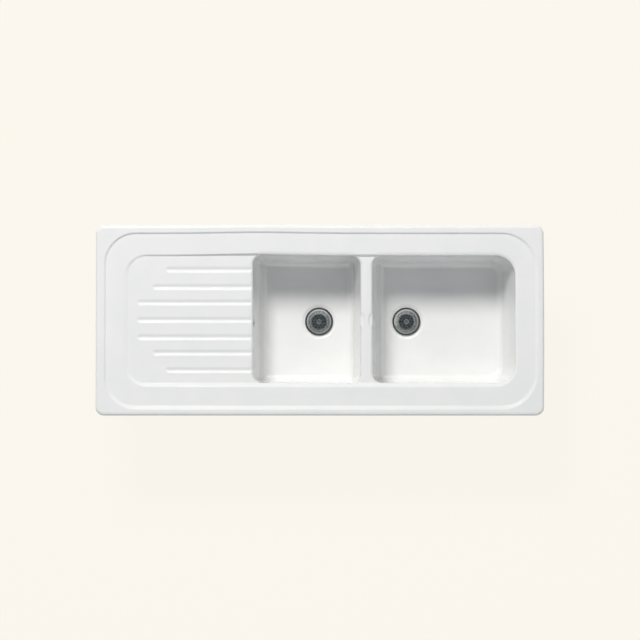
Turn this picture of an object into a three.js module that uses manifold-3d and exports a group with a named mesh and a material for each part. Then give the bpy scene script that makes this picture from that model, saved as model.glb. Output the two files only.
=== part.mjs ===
// Inset kitchen sink in glazed fireclay, with a grooved drainboard on the left, a small bowl
// in the middle and a large bowl on the right. Each bowl has a basket waste.
//
// Millimetres. X runs along the sink to the right, Y to the back, Z up. The origin is the
// middle of the rim's outline, at the height of the worktop that the rim rests on.

import * as THREE from 'three';
import { mergeVertices } from 'three/addons/utils/BufferGeometryUtils.js';
import Module from 'manifold-3d';

// ---- Rim, ledge and pocket ----
const RIM_LENGTH = 1160;
const RIM_DEPTH = 495;
const RIM_CORNER = 22;
const RIM_HEIGHT = 15;
const RIM_EDGE_ROUND = 6;
const RIM_FOOT_ROUND = 2;
const STRIP_LEFT = 24; // width of the raised strip outside the ledge
const STRIP_RIGHT = 20;
const STRIP_BACK = 21.5;
const STRIP_FRONT = 22;
const LEDGE_DROP = 5; // the ledge lies this far below the strip
const LEDGE_CORNER_LEFT = 80;
const LEDGE_CORNER_RIGHT = 90;
const LEDGE_LEFT = 55; // width of the ledge
const LEDGE_RIGHT = 54;
const LEDGE_BACK = 57;
const LEDGE_FRONT = 59;
const POCKET_CORNER = 52;
const LEDGE_STEP_WIDTH = 12; // the steps are soft S curves this wide
const POCKET_STEP_WIDTH = 12;

// ---- Drainboard ----
const BOARD_DROP_FAR = 3.5; // below the ledge, at the end away from the bowls
const BOARD_DROP_NEAR = 8.5; // below the ledge, at the bowl
// Distances from the middle groove outwards, and how much shorter than it each groove is.
const GROOVES = [
  { row: 0, shorter: 0 },
  { row: 45, shorter: 0 },
  { row: 85, shorter: 40 },
  { row: 130, shorter: 74 },
];
const GROOVE_WIDTH = 21;
const GROOVE_DEPTH = 3;
const GROOVE_TIP = 10; // length of the run-out at the closed end
const GROOVE_MARGIN = 27; // from the pocket's left line to the longest grooves

// ---- Bowls ----
const RIGHT_BOWL_LENGTH = 367;
const LEFT_BOWL_LENGTH = 276;
const DIVIDER_WIDTH = 33.5;
const BOWL_INSET = 1; // bowl wall inside the pocket's line, part way down its soft step
const BOWL_DEPTH = 180; // below the ledge
const BOWL_CORNER = 25;
const FRONT_DRAFT = 6; // the front and back walls lean in by this much on their way down
const SIDE_DRAFT = 16; // the walls at the drainboard and the divider
const END_DRAFT = 20; // the outer wall of the right bowl
const FLOOR_FILLET = 22;
const LIP_ROUND = 10; // rounded edge at the drainboard and the divider
const LEDGE_LIP_ROUND = 7; // rounded edge at the ledge

// ---- Casting underside ----
const WALL = 10;
const FLOOR_THICKNESS = 12;
const DECK_THICKNESS = 12; // under the lowest part of the drainboard
const BODY_INSET = 17; // the body below the rim stands inside the rim's edge
const SKIRT_DEPTH = 20;
const RIB_COUNT = 3;
const RIB_WIDTH = 8;
const JOINT_MARGIN = 1; // from a bowl or its duct to the joint with the rest of the casting
const JOINT_DROP = 0.5; // from the deck's underside down to its joint with the bowls

// ---- Overflow ----
const SCOOP_LENGTH = 54;
const SCOOP_DEPTH = 7;
const SCOOP_HEIGHT = 30;
const SLOT_LENGTH = 32;
const SLOT_HEIGHT = 9;
const SLOT_DROP = 13; // from the divider's top to the slot's top
const HOLE_RADIUS = 11; // round overflow hole in the left wall
const HOLE_DROP = 24; // from the drainboard to its centre
const HOLE_OFFSET = -7; // from the bowl's middle, towards the front
const DUCT_WIDTH = 50;
const DUCT_GAP = 9;
const DUCT_WALL = 6;
const DUCT_SET_IN = 1; // the left duct runs this far into the bowl's wall

// ---- Waste fittings ----
const LEFT_DRAIN_X = 169; // from the left bowl's left wall
const RIGHT_DRAIN_X = 91; // from the right bowl's left wall
const DRAIN_HOLE_RADIUS = 30.5;
const DRAIN_HOLE_ROUND = 2.5;
const DISH_RADIUS = 48;
const DISH_DEPTH = 3;
const DISH_SLOPE = 10;
const BOSS_RADIUS = 52;
const BOSS_DEPTH = 20; // below the underside of the floor
const FLANGE_RADIUS = 37.5;
const FLANGE_THICKNESS = 2;
const CONE_TOP_RADIUS = 32.4;
const CONE_FOOT_DEPTH = 0.5; // below the seat
const CUP_RADIUS = 28.4; // inside
const SHEET = 1.5; // metal of the strainer cup
const EDGE_BREAK = 0.6; // small bevel along its turned edges
const VALVE_SEAT_DEPTH = 16;
const VALVE_HOLE_RADIUS = 18.5;
const CUP_FOOT_RADIUS = 24;
const CUP_DEPTH = 31;
const CUP_SLOTS = 6;
const CUP_SLOT_WIDTH = 8;
const CUP_SLOT_HEIGHT = 8;
const GRATE_THICKNESS = 3; // slotted floor of the strainer cup
const GRATE_SLOTS = 10;
const GRATE_SLOT_WIDTH = 3.4;
const GRATE_SLOT_INNER = 9; // radii between which its slots run
const GRATE_SLOT_OUTER = 20.5;
const SCREW_RADIUS = 4;
const SCREW_HEAD_RADIUS = 6;
const SCREW_HEAD_HEIGHT = 6;
const SCREW_HEAD_BEVEL = 1;
const SCREW_LENGTH = 20;
const SOCKET_FLOOR = 1; // from the grate up to the floor of the socket in the screw's head
const BASKET_SHEET = 1;
const BASKET_DEPTH = 10;
const BASKET_RIM_WIDTH = 1.4;
const BASKET_FLOOR_RADIUS = 21.5;
const BASKET_HOLE_RADIUS = 1.9;
const BASKET_RINGS = [{ count: 6, radius: 9.8 }, { count: 12, radius: 16.2 }];
const BASKET_SIDE_HOLES = 16;
const KNOB_RADIUS = 6.4;
const KNOB_TOP_RADIUS = 2.7;
const KNOB_HEIGHT = 2; // above the flange's seat
const KNOB_SHOULDER = 3.4; // from its top down to its widest line
const KNOB_ROUND = 1.2;
const KNOB_NECK_RADIUS = 4;
const COLLAR_RADIUS = 5; // collars that hold the basket and the stopper on the stem
const COLLAR_HEIGHT = 1;
const STEM_RADIUS = 3;
const STEM_TIP_RADIUS = 2.2;
const STOPPER_RADIUS = 21.5;
const STOPPER_THICKNESS = 2.2;
const FLANGE_GASKET = 1.5;
const LOWER_GASKET = 3;
const GASKET_MARGIN = 1.5; // the gaskets stay this far inside the faces that press on them
const LOWER_BODY_RADIUS = 46;
const LOWER_BODY_FLANGE = 4;
const LOWER_BODY_WALL = 3;
const FUNNEL_THROAT = 6; // straight part of the funnel below its flange
const FUNNEL_DEPTH = 26;
const HUB_RADIUS = 7;
const HUB_FLOOR = 2; // under the screw's end
const OUTLET_RADIUS = 22; // outside of the outlet's spigot
const OUTLET_LENGTH = 24;
const PIPE_RADIUS = 20;
const PIPE_WALL = 2.5;
const PIPE_LENGTH = 66;
const PIPE_FLANGE = 2.5;
const OUTLET_WASHER = 2;
const NUT_RADIUS = 28;
const NUT_HEIGHT = 24;
const NUT_LUGS = 8;
const NUT_LUG_RADIUS = 4;
const NUT_LUG_SET_IN = 1; // its centre lies this far inside the nut's outside
const NUT_BEVEL = 1.5;
const NUT_LIP = 3;

// ---- Clearances and seal ----
const RIM_SEAL_THICKNESS = 2;
const RIM_SEAL_WIDTH = 9;
const RIM_SEAL_INSET = 3;
const SEAT_GAP = 0.3; // between pieces that touch
const FIT_GAP = 0.4; // round a stem, a screw or a pipe
const THROUGH = 5; // cutters pass a surface by this much

// ---- Smoothness of the curves ----
const CORNER_STEPS = 5;
const HIDDEN_STEPS = 2;
const STEP_RINGS = 4;
const FILLET_RINGS = 4;
const LIP_RINGS = 3;
const GROOVE_SIDES = 26;
const GROOVE_TIP_STEPS = 6;
const ROUND_SIDES = 24;
const HIDDEN_SIDES = 18;
const SMALL_SIDES = 12;
const HOLE_SIDES = 6;
const LUG_SIDES = 6;

// ---- Heights that follow from the sizes above ----
const SEAT = RIM_SEAL_THICKNESS;
const RIM_TOP = SEAT + RIM_HEIGHT;
const LEDGE = RIM_TOP - LEDGE_DROP;
const BOARD_FAR = LEDGE - BOARD_DROP_FAR;
const BOARD_NEAR = LEDGE - BOARD_DROP_NEAR;
const FLOOR = LEDGE - BOWL_DEPTH;
const FLOOR_UNDERSIDE = FLOOR - FLOOR_THICKNESS;
const BOSS_UNDERSIDE = FLOOR_UNDERSIDE - BOSS_DEPTH;
const DECK_UNDERSIDE = BOARD_NEAR - DECK_THICKNESS;
const SKIRT_UNDERSIDE = DECK_UNDERSIDE - SKIRT_DEPTH;
const DRAIN_SEAT = FLOOR - DISH_DEPTH;
const CUTTER_TOP = RIM_TOP + THROUGH;

const QUARTER = Math.PI / 2;

// ---- Finishes ----
const glaze = { color: 0xe9e9e8, roughness: 0.12, metalness: 0 };
const chrome = { color: 0xc9ccce, roughness: 0.15, metalness: 1 };
const steel = { color: 0xb4b6b7, roughness: 0.28, metalness: 1 };
const rubber = { color: 0x1e1e1f, roughness: 0.8, metalness: 0 };
const plastic = { color: 0xe6e6e2, roughness: 0.45, metalness: 0 };

// ---- Solids ----
const wasm = await Module();
wasm.setup();

function solidOf(geometry) {
  const bare = geometry.clone();
  bare.deleteAttribute('normal');
  bare.deleteAttribute('uv');
  const merged = mergeVertices(bare, 1e-4);
  const triVerts = Uint32Array.from(merged.index.array);
  const vertProperties = Float32Array.from(merged.attributes.position.array);
  return new wasm.Manifold(new wasm.Mesh({ numProp: 3, vertProperties, triVerts }));
}

function geometryOf(solid) {
  const { vertProperties, triVerts } = solid.getMesh();
  const geometry = new THREE.BufferGeometry();
  geometry.setAttribute('position', new THREE.BufferAttribute(vertProperties, 3));
  geometry.setIndex(new THREE.BufferAttribute(triVerts, 1));
  geometry.computeVertexNormals();
  return geometry;
}

function joined(solids) {
  return solids.reduce((whole, next) => whole.add(next));
}

function cut(whole, cutters) {
  return cutters.reduce((rest, cutter) => rest.subtract(cutter), whole);
}

// A rounded rectangle. radii: front right, back right, back left, front left.
function plan(x0, x1, y0, y1, radii, steps = CORNER_STEPS) {
  const list = Array.isArray(radii) ? radii : [radii, radii, radii, radii];
  return { x0, x1, y0, y1, radii: list, steps };
}

// The same plan with each side moved outwards, and the corners kept in step.
function grown(base, by) {
  const side = typeof by === 'number' ? { left: by, right: by, front: by, back: by } : by;
  const pairs = [
    side.front + side.right,
    side.back + side.right,
    side.back + side.left,
    side.front + side.left,
  ];
  return {
    x0: base.x0 - side.left,
    x1: base.x1 + side.right,
    y0: base.y0 - side.front,
    y1: base.y1 + side.back,
    radii: base.radii.map((radius, i) => Math.max(radius + pairs[i] / 2, 0.5)),
    steps: base.steps,
  };
}

function outline({ x0, x1, y0, y1, radii, steps }) {
  const centres = [
    [x1 - radii[0], y0 + radii[0]],
    [x1 - radii[1], y1 - radii[1]],
    [x0 + radii[2], y1 - radii[2]],
    [x0 + radii[3], y0 + radii[3]],
  ];
  return centres.flatMap(([x, y], corner) => Array.from({ length: steps + 1 }, (_, k) => {
    const angle = QUARTER * (corner - 1 + k / steps);
    return new THREE.Vector2(
      x + radii[corner] * Math.cos(angle),
      y + radii[corner] * Math.sin(angle),
    );
  }));
}

// A closed skin through a stack of plans, listed from the bottom up. A level's height is a
// number, or a function of x where the level slopes.
function loft(levels) {
  const rings = levels.map(({ shape, z }) => outline(shape).map(
    (point) => new THREE.Vector3(point.x, point.y, typeof z === 'number' ? z : z(point.x)),
  ));
  const count = rings[0].length;
  const faces = [];
  for (let level = 0; level < rings.length - 1; level += 1) {
    for (let i = 0; i < count; i += 1) {
      const a = level * count + i;
      const b = level * count + (i + 1) % count;
      faces.push(a, b, b + count, a, b + count, a + count);
    }
  }
  const caps = [rings[0], rings.at(-1)].map((ring) => THREE.ShapeUtils.triangulateShape(
    ring.map((point) => new THREE.Vector2(point.x, point.y)),
    [],
  ));
  const top = (rings.length - 1) * count;
  caps[0].forEach(([a, b, c]) => faces.push(a, c, b));
  caps[1].forEach(([a, b, c]) => faces.push(top + a, top + b, top + c));
  const geometry = new THREE.BufferGeometry().setFromPoints(rings.flat());
  geometry.setIndex(faces);
  return solidOf(geometry);
}

function prism(shape, z0, z1) {
  return loft([{ shape, z: z0 }, { shape, z: z1 }]);
}

// A body turned about the Z axis from a closed loop of [radius, height] points, which runs
// anticlockwise when the radius points right and the height up.
function turned(profile, sides = ROUND_SIDES) {
  const points = [...profile, profile[0]].map(([r, z]) => new THREE.Vector2(r, z));
  const geometry = new THREE.LatheGeometry(points, sides);
  geometry.rotateX(QUARTER);
  return solidOf(geometry);
}

function placed(solid, x, y, z = 0) {
  return solid.translate([x, y, z]);
}

function round(count, make) {
  return Array.from({ length: count }, (_, i) => make((i / count) * 360));
}

// ---- Casting: plans ----
const rim = plan(-RIM_LENGTH / 2, RIM_LENGTH / 2, -RIM_DEPTH / 2, RIM_DEPTH / 2, RIM_CORNER);
const ledge = plan(
  rim.x0 + STRIP_LEFT,
  rim.x1 - STRIP_RIGHT,
  rim.y0 + STRIP_FRONT,
  rim.y1 - STRIP_BACK,
  [LEDGE_CORNER_RIGHT, LEDGE_CORNER_RIGHT, LEDGE_CORNER_LEFT, LEDGE_CORNER_LEFT],
);
const pocket = plan(
  ledge.x0 + LEDGE_LEFT,
  ledge.x1 - LEDGE_RIGHT,
  ledge.y0 + LEDGE_FRONT,
  ledge.y1 - LEDGE_BACK,
  POCKET_CORNER,
);
const bowlFront = pocket.y0 + BOWL_INSET;
const bowlBack = pocket.y1 - BOWL_INSET;
const bowlMiddle = (bowlFront + bowlBack) / 2;
const outerCorner = POCKET_CORNER - BOWL_INSET;
const rightBowl = plan(
  pocket.x1 - BOWL_INSET - RIGHT_BOWL_LENGTH,
  pocket.x1 - BOWL_INSET,
  bowlFront,
  bowlBack,
  [outerCorner, outerCorner, BOWL_CORNER, BOWL_CORNER],
);
const leftBowl = plan(
  rightBowl.x0 - DIVIDER_WIDTH - LEFT_BOWL_LENGTH,
  rightBowl.x0 - DIVIDER_WIDTH,
  bowlFront,
  bowlBack,
  BOWL_CORNER,
);
const drains = {
  left: { x: leftBowl.x0 + LEFT_DRAIN_X, y: bowlMiddle },
  right: { x: rightBowl.x0 + RIGHT_DRAIN_X, y: bowlMiddle },
};
const leftLean = { left: SIDE_DRAFT, right: SIDE_DRAFT, front: FRONT_DRAFT, back: FRONT_DRAFT };
const rightLean = { ...leftLean, right: END_DRAFT };
const boardEnd = leftBowl.x0 - LIP_ROUND;
const boardSlope = (BOARD_NEAR - BOARD_FAR) / (boardEnd - pocket.x0);
const boardHeight = (x) => BOARD_FAR + boardSlope * (x - pocket.x0);

// ---- Casting: cutters for the upper side ----

// A soft step down from one level to another: half a cosine wave in section.
function stepCutter(line, width, base, top) {
  const rings = Array.from({ length: STEP_RINGS + 1 }, (_, k) => {
    const along = k / STEP_RINGS;
    const rise = (1 - Math.cos(Math.PI * along)) / 2;
    return {
      shape: grown(line, width * (along - 0.5)),
      z: (x) => base(x) + (top - base(x)) * rise,
    };
  });
  return loft([...rings, { shape: rings.at(-1).shape, z: CUTTER_TOP }]);
}

// How far a rounded lip has opened out at a height.
function lipFlare(z, top, radius) {
  const up = Math.min(Math.max(z - (top - radius), 0), radius);
  return radius - Math.sqrt(radius * radius - up * up);
}

function lipHeights(top, radius) {
  return Array.from({ length: LIP_RINGS + 1 }, (_, k) => (
    top - radius + radius * Math.sin((QUARTER * k) / LIP_RINGS)
  ));
}

// A bowl's plan where its walls have leaned in, moved outwards again by the same amount all round.
function leaned(bowl, lean, outward) {
  return grown(bowl, {
    left: outward - lean.left,
    right: outward - lean.right,
    front: outward - lean.front,
    back: outward - lean.back,
  });
}

// Sides that meet the drainboard or the divider have their lip at that lower level.
function bowlCutter(bowl, lean, lowSides) {
  const wallTop = BOARD_NEAR - LIP_ROUND;
  const fillet = Array.from({ length: FILLET_RINGS + 1 }, (_, k) => {
    const angle = (QUARTER * k) / FILLET_RINGS;
    return {
      shape: leaned(bowl, lean, -FLOOR_FILLET * (1 - Math.sin(angle))),
      z: FLOOR + FLOOR_FILLET * (1 - Math.cos(angle)),
    };
  });
  const flareAt = (side, z) => (lowSides.includes(side)
    ? lipFlare(z, BOARD_NEAR, LIP_ROUND)
    : lipFlare(z, LEDGE, LEDGE_LIP_ROUND));
  const heights = [
    wallTop,
    ...lipHeights(BOARD_NEAR, LIP_ROUND),
    ...lipHeights(LEDGE, LEDGE_LIP_ROUND),
    CUTTER_TOP,
  ];
  const wall = [...new Set(heights)].sort((a, b) => a - b).map((z) => ({
    shape: grown(bowl, {
      left: flareAt('left', z),
      right: flareAt('right', z),
      front: flareAt('front', z),
      back: flareAt('back', z),
    }),
    z,
  }));
  return loft([...fillet, ...wall]);
}

// One groove: a round-bottomed trough that runs out in a long tip at its closed end.
function grooveCutter(start, y) {
  const radius = (GROOVE_WIDTH * GROOVE_WIDTH / 4 + GROOVE_DEPTH * GROOVE_DEPTH) / (2 * GROOVE_DEPTH);
  const reach = GROOVE_TIP * (radius / (GROOVE_WIDTH / 2));
  const length = leftBowl.x0 + BOWL_CORNER - start;
  const tip = Array.from({ length: GROOVE_TIP_STEPS + 1 }, (_, k) => {
    const angle = (QUARTER * k) / GROOVE_TIP_STEPS;
    return new THREE.Vector2(radius * Math.sin(angle), -reach * Math.cos(angle));
  });
  const points = [...tip, new THREE.Vector2(radius, length), new THREE.Vector2(0, length)];
  const geometry = new THREE.LatheGeometry(points, GROOVE_SIDES);
  geometry.rotateZ(-QUARTER);
  geometry.rotateY(-Math.atan(boardSlope));
  const axisHeight = boardHeight(start) + radius - GROOVE_DEPTH;
  return placed(solidOf(geometry), start + GROOVE_TIP, y, axisHeight);
}

function grooveCutters() {
  return GROOVES.flatMap(({ row, shorter }) => {
    const start = pocket.x0 + GROOVE_MARGIN + shorter;
    const rows = row > 0 ? [row, -row] : [row];
    return rows.map((y) => grooveCutter(start, bowlMiddle + y));
  });
}

// The hole for a waste with a rounded edge, and the shallow dish that its flange sits in.
function drainCutter({ x, y }) {
  const dish = [[0, DRAIN_SEAT]];
  for (let k = 0; k <= STEP_RINGS; k += 1) {
    const along = k / STEP_RINGS;
    const rise = (1 - Math.cos(Math.PI * along)) / 2;
    dish.push([DISH_RADIUS - DISH_SLOPE * (1 - along), DRAIN_SEAT + DISH_DEPTH * rise]);
  }
  dish.push([DISH_RADIUS, FLOOR + THROUGH], [0, FLOOR + THROUGH]);
  const hole = [[0, BOSS_UNDERSIDE - THROUGH], [DRAIN_HOLE_RADIUS, BOSS_UNDERSIDE - THROUGH]];
  for (let k = 0; k <= LIP_RINGS; k += 1) {
    const angle = (QUARTER * k) / LIP_RINGS;
    hole.push([
      DRAIN_HOLE_RADIUS + DRAIN_HOLE_ROUND * (1 - Math.cos(angle)),
      DRAIN_SEAT - DRAIN_HOLE_ROUND * (1 - Math.sin(angle)),
    ]);
  }
  hole.push([DRAIN_HOLE_RADIUS + DRAIN_HOLE_ROUND, FLOOR], [0, FLOOR]);
  return placed(turned(dish).add(turned(hole)), x, y);
}

// ---- Casting: overflow ----
const dividerMiddle = (leftBowl.x1 + rightBowl.x0) / 2;
const ductFoot = FLOOR_UNDERSIDE - DUCT_GAP;
const leftDuctX = leftBowl.x0 - WALL + DUCT_SET_IN - DUCT_GAP / 2;

// The ducts' hollow when margin is 0, and their outside when it is the duct's wall.
function ducts(margin) {
  const half = DUCT_WIDTH / 2 + margin;
  const gap = DUCT_GAP / 2 + margin;
  const bottom = ductFoot - margin;
  const channel = (x0, x1, top) => prism(
    plan(x0, x1, bowlMiddle - half, bowlMiddle + half, gap, HIDDEN_STEPS),
    bottom,
    top,
  );
  const dividerTop = BOARD_NEAR - DECK_THICKNESS + margin;
  const underFloor = FLOOR_UNDERSIDE + margin;
  return joined([
    channel(dividerMiddle - gap, dividerMiddle + gap, dividerTop),
    channel(leftDuctX - gap, leftDuctX + gap, DECK_UNDERSIDE + margin),
    channel(drains.left.x, dividerMiddle + gap, underFloor),
    channel(dividerMiddle - gap, drains.right.x, underFloor),
    channel(leftDuctX - gap, drains.left.x, underFloor),
  ]);
}

function overflowCutters() {
  const slotTop = BOARD_NEAR - SLOT_DROP;
  const slot = prism(
    plan(
      leftBowl.x1 - THROUGH,
      rightBowl.x0 + THROUGH,
      bowlMiddle - SLOT_LENGTH / 2,
      bowlMiddle + SLOT_LENGTH / 2,
      HIDDEN_STEPS,
      HIDDEN_STEPS,
    ),
    slotTop - SLOT_HEIGHT,
    slotTop,
  );
  const scoops = [leftBowl.x1, rightBowl.x0].map((x) => {
    const scoop = new THREE.SphereGeometry(1, HIDDEN_SIDES, HIDDEN_SIDES / 2);
    scoop.rotateX(QUARTER);
    scoop.scale(SCOOP_DEPTH, SCOOP_LENGTH / 2, SCOOP_HEIGHT);
    return placed(solidOf(scoop), x, bowlMiddle, BOARD_NEAR);
  });
  const holeEnd = leftBowl.x0 + THROUGH;
  const hole = new THREE.CylinderGeometry(HOLE_RADIUS, HOLE_RADIUS, holeEnd - leftDuctX, ROUND_SIDES);
  hole.rotateZ(QUARTER);
  const holeAt = [(holeEnd + leftDuctX) / 2, bowlMiddle + HOLE_OFFSET, BOARD_NEAR - HOLE_DROP];
  return [slot, ...scoops, placed(solidOf(hole), ...holeAt)];
}

// ---- Casting: underside ----
function bowlShell(bowl, lean) {
  const wallTop = BOARD_NEAR - LIP_ROUND;
  const rings = Array.from({ length: FILLET_RINGS + 1 }, (_, k) => {
    const angle = (QUARTER * k) / FILLET_RINGS;
    const outward = (FLOOR_FILLET + WALL) * Math.sin(angle);
    return {
      shape: leaned(bowl, lean, outward - FLOOR_FILLET),
      z: FLOOR + FLOOR_FILLET - (FLOOR_FILLET + FLOOR_THICKNESS) * Math.cos(angle),
    };
  });
  return loft([...rings, { shape: grown(bowl, WALL), z: wallTop }]);
}

function underside() {
  const body = grown(rim, -BODY_INSET);
  const skirt = prism(body, SKIRT_UNDERSIDE, SEAT + RIM_FOOT_ROUND);
  const hollow = prism(grown(body, -WALL), SKIRT_UNDERSIDE - THROUGH, DECK_UNDERSIDE);
  const ribSpan = leftBowl.x0 - WALL - body.x0;
  const ribs = Array.from({ length: RIB_COUNT }, (_, i) => {
    const x = body.x0 + (ribSpan * (i + 1)) / (RIB_COUNT + 1);
    const shape = plan(
      x - RIB_WIDTH / 2,
      x + RIB_WIDTH / 2,
      body.y0 + WALL / 2,
      body.y1 - WALL / 2,
      RIB_WIDTH / 4,
      1,
    );
    return prism(shape, SKIRT_UNDERSIDE, DECK_UNDERSIDE + THROUGH);
  });
  const bosses = Object.values(drains).map(({ x, y }) => placed(
    turned([[0, BOSS_UNDERSIDE], [BOSS_RADIUS, BOSS_UNDERSIDE], [BOSS_RADIUS, FLOOR], [0, FLOOR]]),
    x,
    y,
  ));
  return joined([
    cut(skirt, [hollow]),
    ...ribs,
    bowlShell(leftBowl, leftLean),
    bowlShell(rightBowl, rightLean),
    ...bosses,
    ducts(DUCT_WALL),
  ]);
}

function rimPlate() {
  const edge = Array.from({ length: LIP_RINGS + 1 }, (_, k) => {
    const angle = (QUARTER * k) / LIP_RINGS;
    return {
      shape: grown(rim, -RIM_EDGE_ROUND * (1 - Math.cos(angle))),
      z: RIM_TOP - RIM_EDGE_ROUND * (1 - Math.sin(angle)),
    };
  });
  return loft([
    { shape: grown(rim, -RIM_FOOT_ROUND), z: SEAT },
    { shape: rim, z: SEAT + RIM_FOOT_ROUND },
    ...edge,
  ]);
}

function sinkBody() {
  const ledgeCutter = stepCutter(ledge, LEDGE_STEP_WIDTH, () => LEDGE, RIM_TOP);
  const sloped = stepCutter(pocket, POCKET_STEP_WIDTH, boardHeight, LEDGE);
  const level = stepCutter(pocket, POCKET_STEP_WIDTH, () => BOARD_NEAR, LEDGE);
  return cut(rimPlate().add(underside()), [
    ducts(0),
    ledgeCutter,
    sloped.intersect(level),
    bowlCutter(leftBowl, leftLean, ['left', 'right']),
    bowlCutter(rightBowl, rightLean, ['left']),
    ...grooveCutters(),
    ...Object.values(drains).map(drainCutter),
    ...overflowCutters(),
  ]);
}

// The casting in four pieces that meet face to face. The bowls are cast apart from the deck
// and joined to it wet. The deck is in two pieces too: the drainboard and the bowls' surround.
function castingPieces() {
  const whole = sinkBody();
  const jointLine = leftDuctX - DUCT_GAP / 2 - DUCT_WALL - JOINT_MARGIN;
  const side = WALL + JOINT_MARGIN;
  const jointTop = DECK_UNDERSIDE - JOINT_DROP;
  const bottom = BOSS_UNDERSIDE - THROUGH;
  const zone = (x0, x1, y0, y1, top) => prism(plan(x0, x1, y0, y1, JOINT_MARGIN, 1), bottom, top);
  const below = (x0, x1) => zone(x0, x1, bowlFront - side, bowlBack + side, jointTop);
  const board = zone(rim.x0 - side, jointLine, rim.y0 - side, rim.y1 + side, CUTTER_TOP);
  const left = below(jointLine, dividerMiddle);
  const right = below(dividerMiddle, rightBowl.x1 + side);
  return {
    drainboard: whole.intersect(board),
    bowl_surround: cut(whole, [board, left, right]),
    left_bowl: whole.intersect(left),
    right_bowl: whole.intersect(right),
  };
}

function rimSeal() {
  const outer = grown(rim, -RIM_SEAL_INSET);
  const inner = grown(outer, -RIM_SEAL_WIDTH);
  return cut(prism(outer, 0, SEAT - SEAT_GAP), [prism(inner, -THROUGH, SEAT + THROUGH)]);
}

// ---- Waste fittings. Heights from here on count from the seat in the dish. ----
const flangeUnderside = FLANGE_GASKET + 2 * SEAT_GAP;
const flangeTop = flangeUnderside + FLANGE_THICKNESS;
const coneFoot = -CONE_FOOT_DEPTH;
const cupWall = CUP_RADIUS + SHEET;
const valveTop = -VALVE_SEAT_DEPTH;
const cupFloor = -CUP_DEPTH;
const bossFace = BOSS_UNDERSIDE - DRAIN_SEAT;
const grateTop = cupFloor + GRATE_THICKNESS;

function ringSection(inner, outer, bottom, top) {
  return [[inner, bottom], [outer, bottom], [outer, top], [inner, top]];
}

function flangeGasket() {
  const inner = DRAIN_HOLE_RADIUS + GASKET_MARGIN;
  const outer = FLANGE_RADIUS - GASKET_MARGIN;
  const section = ringSection(inner, outer, SEAT_GAP, SEAT_GAP + FLANGE_GASKET);
  return turned(section, HIDDEN_SIDES);
}

// Flange, cone, upper wall, valve seat and slotted foot, closed below by a slotted grate.
function strainerCup() {
  const skin = turned([
    [CUP_FOOT_RADIUS - SHEET, cupFloor],
    [CUP_FOOT_RADIUS, cupFloor],
    [CUP_FOOT_RADIUS, valveTop - 2 * SHEET],
    [cupWall, valveTop - SHEET],
    [cupWall, coneFoot],
    [cupWall + EDGE_BREAK, flangeUnderside],
    [FLANGE_RADIUS - EDGE_BREAK, flangeUnderside],
    [FLANGE_RADIUS, flangeUnderside + EDGE_BREAK],
    [FLANGE_RADIUS - EDGE_BREAK, flangeTop],
    [CONE_TOP_RADIUS, flangeTop],
    [CUP_RADIUS, coneFoot],
    [CUP_RADIUS, valveTop + SHEET],
    [VALVE_HOLE_RADIUS + EDGE_BREAK, valveTop],
    [VALVE_HOLE_RADIUS, valveTop - EDGE_BREAK],
    [VALVE_HOLE_RADIUS, valveTop - SHEET],
    [CUP_FOOT_RADIUS - SHEET, valveTop - 2 * SHEET],
  ]);
  const slots = round(CUP_SLOTS, (angle) => {
    const slot = new THREE.BoxGeometry(4 * SHEET, CUP_SLOT_WIDTH, CUP_SLOT_HEIGHT);
    slot.translate(CUP_FOOT_RADIUS, 0, (valveTop + cupFloor) / 2);
    return solidOf(slot).rotate([0, 0, angle]);
  });
  const grateRadius = CUP_FOOT_RADIUS - SHEET / 2;
  const grate = turned([
    [SCREW_RADIUS + FIT_GAP, cupFloor],
    [grateRadius, cupFloor],
    [grateRadius, grateTop],
    [SCREW_RADIUS + FIT_GAP, grateTop],
  ]);
  const grateSlots = round(GRATE_SLOTS, (angle) => {
    const length = GRATE_SLOT_OUTER - GRATE_SLOT_INNER;
    const slot = new THREE.BoxGeometry(length, GRATE_SLOT_WIDTH, 2 * GRATE_THICKNESS);
    slot.translate(GRATE_SLOT_INNER + length / 2, 0, (cupFloor + grateTop) / 2);
    return solidOf(slot).rotate([0, 0, angle]);
  });
  return cut(skin, slots).add(cut(grate, grateSlots));
}

const basketTop = coneFoot - SEAT_GAP;
const basketFloor = basketTop - BASKET_DEPTH;
const basketMouth = CUP_RADIUS - SEAT_GAP - BASKET_RIM_WIDTH;

// Pressed basket: flat perforated floor, sloping perforated side and a small turned-out rim.
function basket() {
  const skin = turned([
    [STEM_RADIUS + FIT_GAP, basketFloor],
    [BASKET_FLOOR_RADIUS, basketFloor],
    [basketMouth, basketTop - BASKET_SHEET],
    [basketMouth + BASKET_RIM_WIDTH, basketTop - BASKET_SHEET],
    [basketMouth + BASKET_RIM_WIDTH, basketTop],
    [basketMouth - BASKET_SHEET, basketTop],
    [BASKET_FLOOR_RADIUS - BASKET_SHEET, basketFloor + BASKET_SHEET],
    [STEM_RADIUS + FIT_GAP, basketFloor + BASKET_SHEET],
  ]);
  const drill = new THREE.CylinderGeometry(
    BASKET_HOLE_RADIUS,
    BASKET_HOLE_RADIUS,
    6 * BASKET_SHEET,
    HOLE_SIDES,
  );
  const upright = solidOf(drill.clone().rotateX(QUARTER));
  const floorHoles = BASKET_RINGS.flatMap(({ count, radius }) => round(count, (angle) => (
    placed(upright, radius, 0, basketFloor).rotate([0, 0, angle])
  )));
  const sideRadius = (BASKET_FLOOR_RADIUS + basketMouth) / 2;
  const sideways = solidOf(drill.clone().rotateZ(QUARTER));
  const sideHoles = round(BASKET_SIDE_HOLES, (angle) => (
    placed(sideways, sideRadius, 0, basketFloor + BASKET_DEPTH / 2).rotate([0, 0, angle])
  ));
  return cut(skin, [...floorHoles, ...sideHoles]);
}

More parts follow.
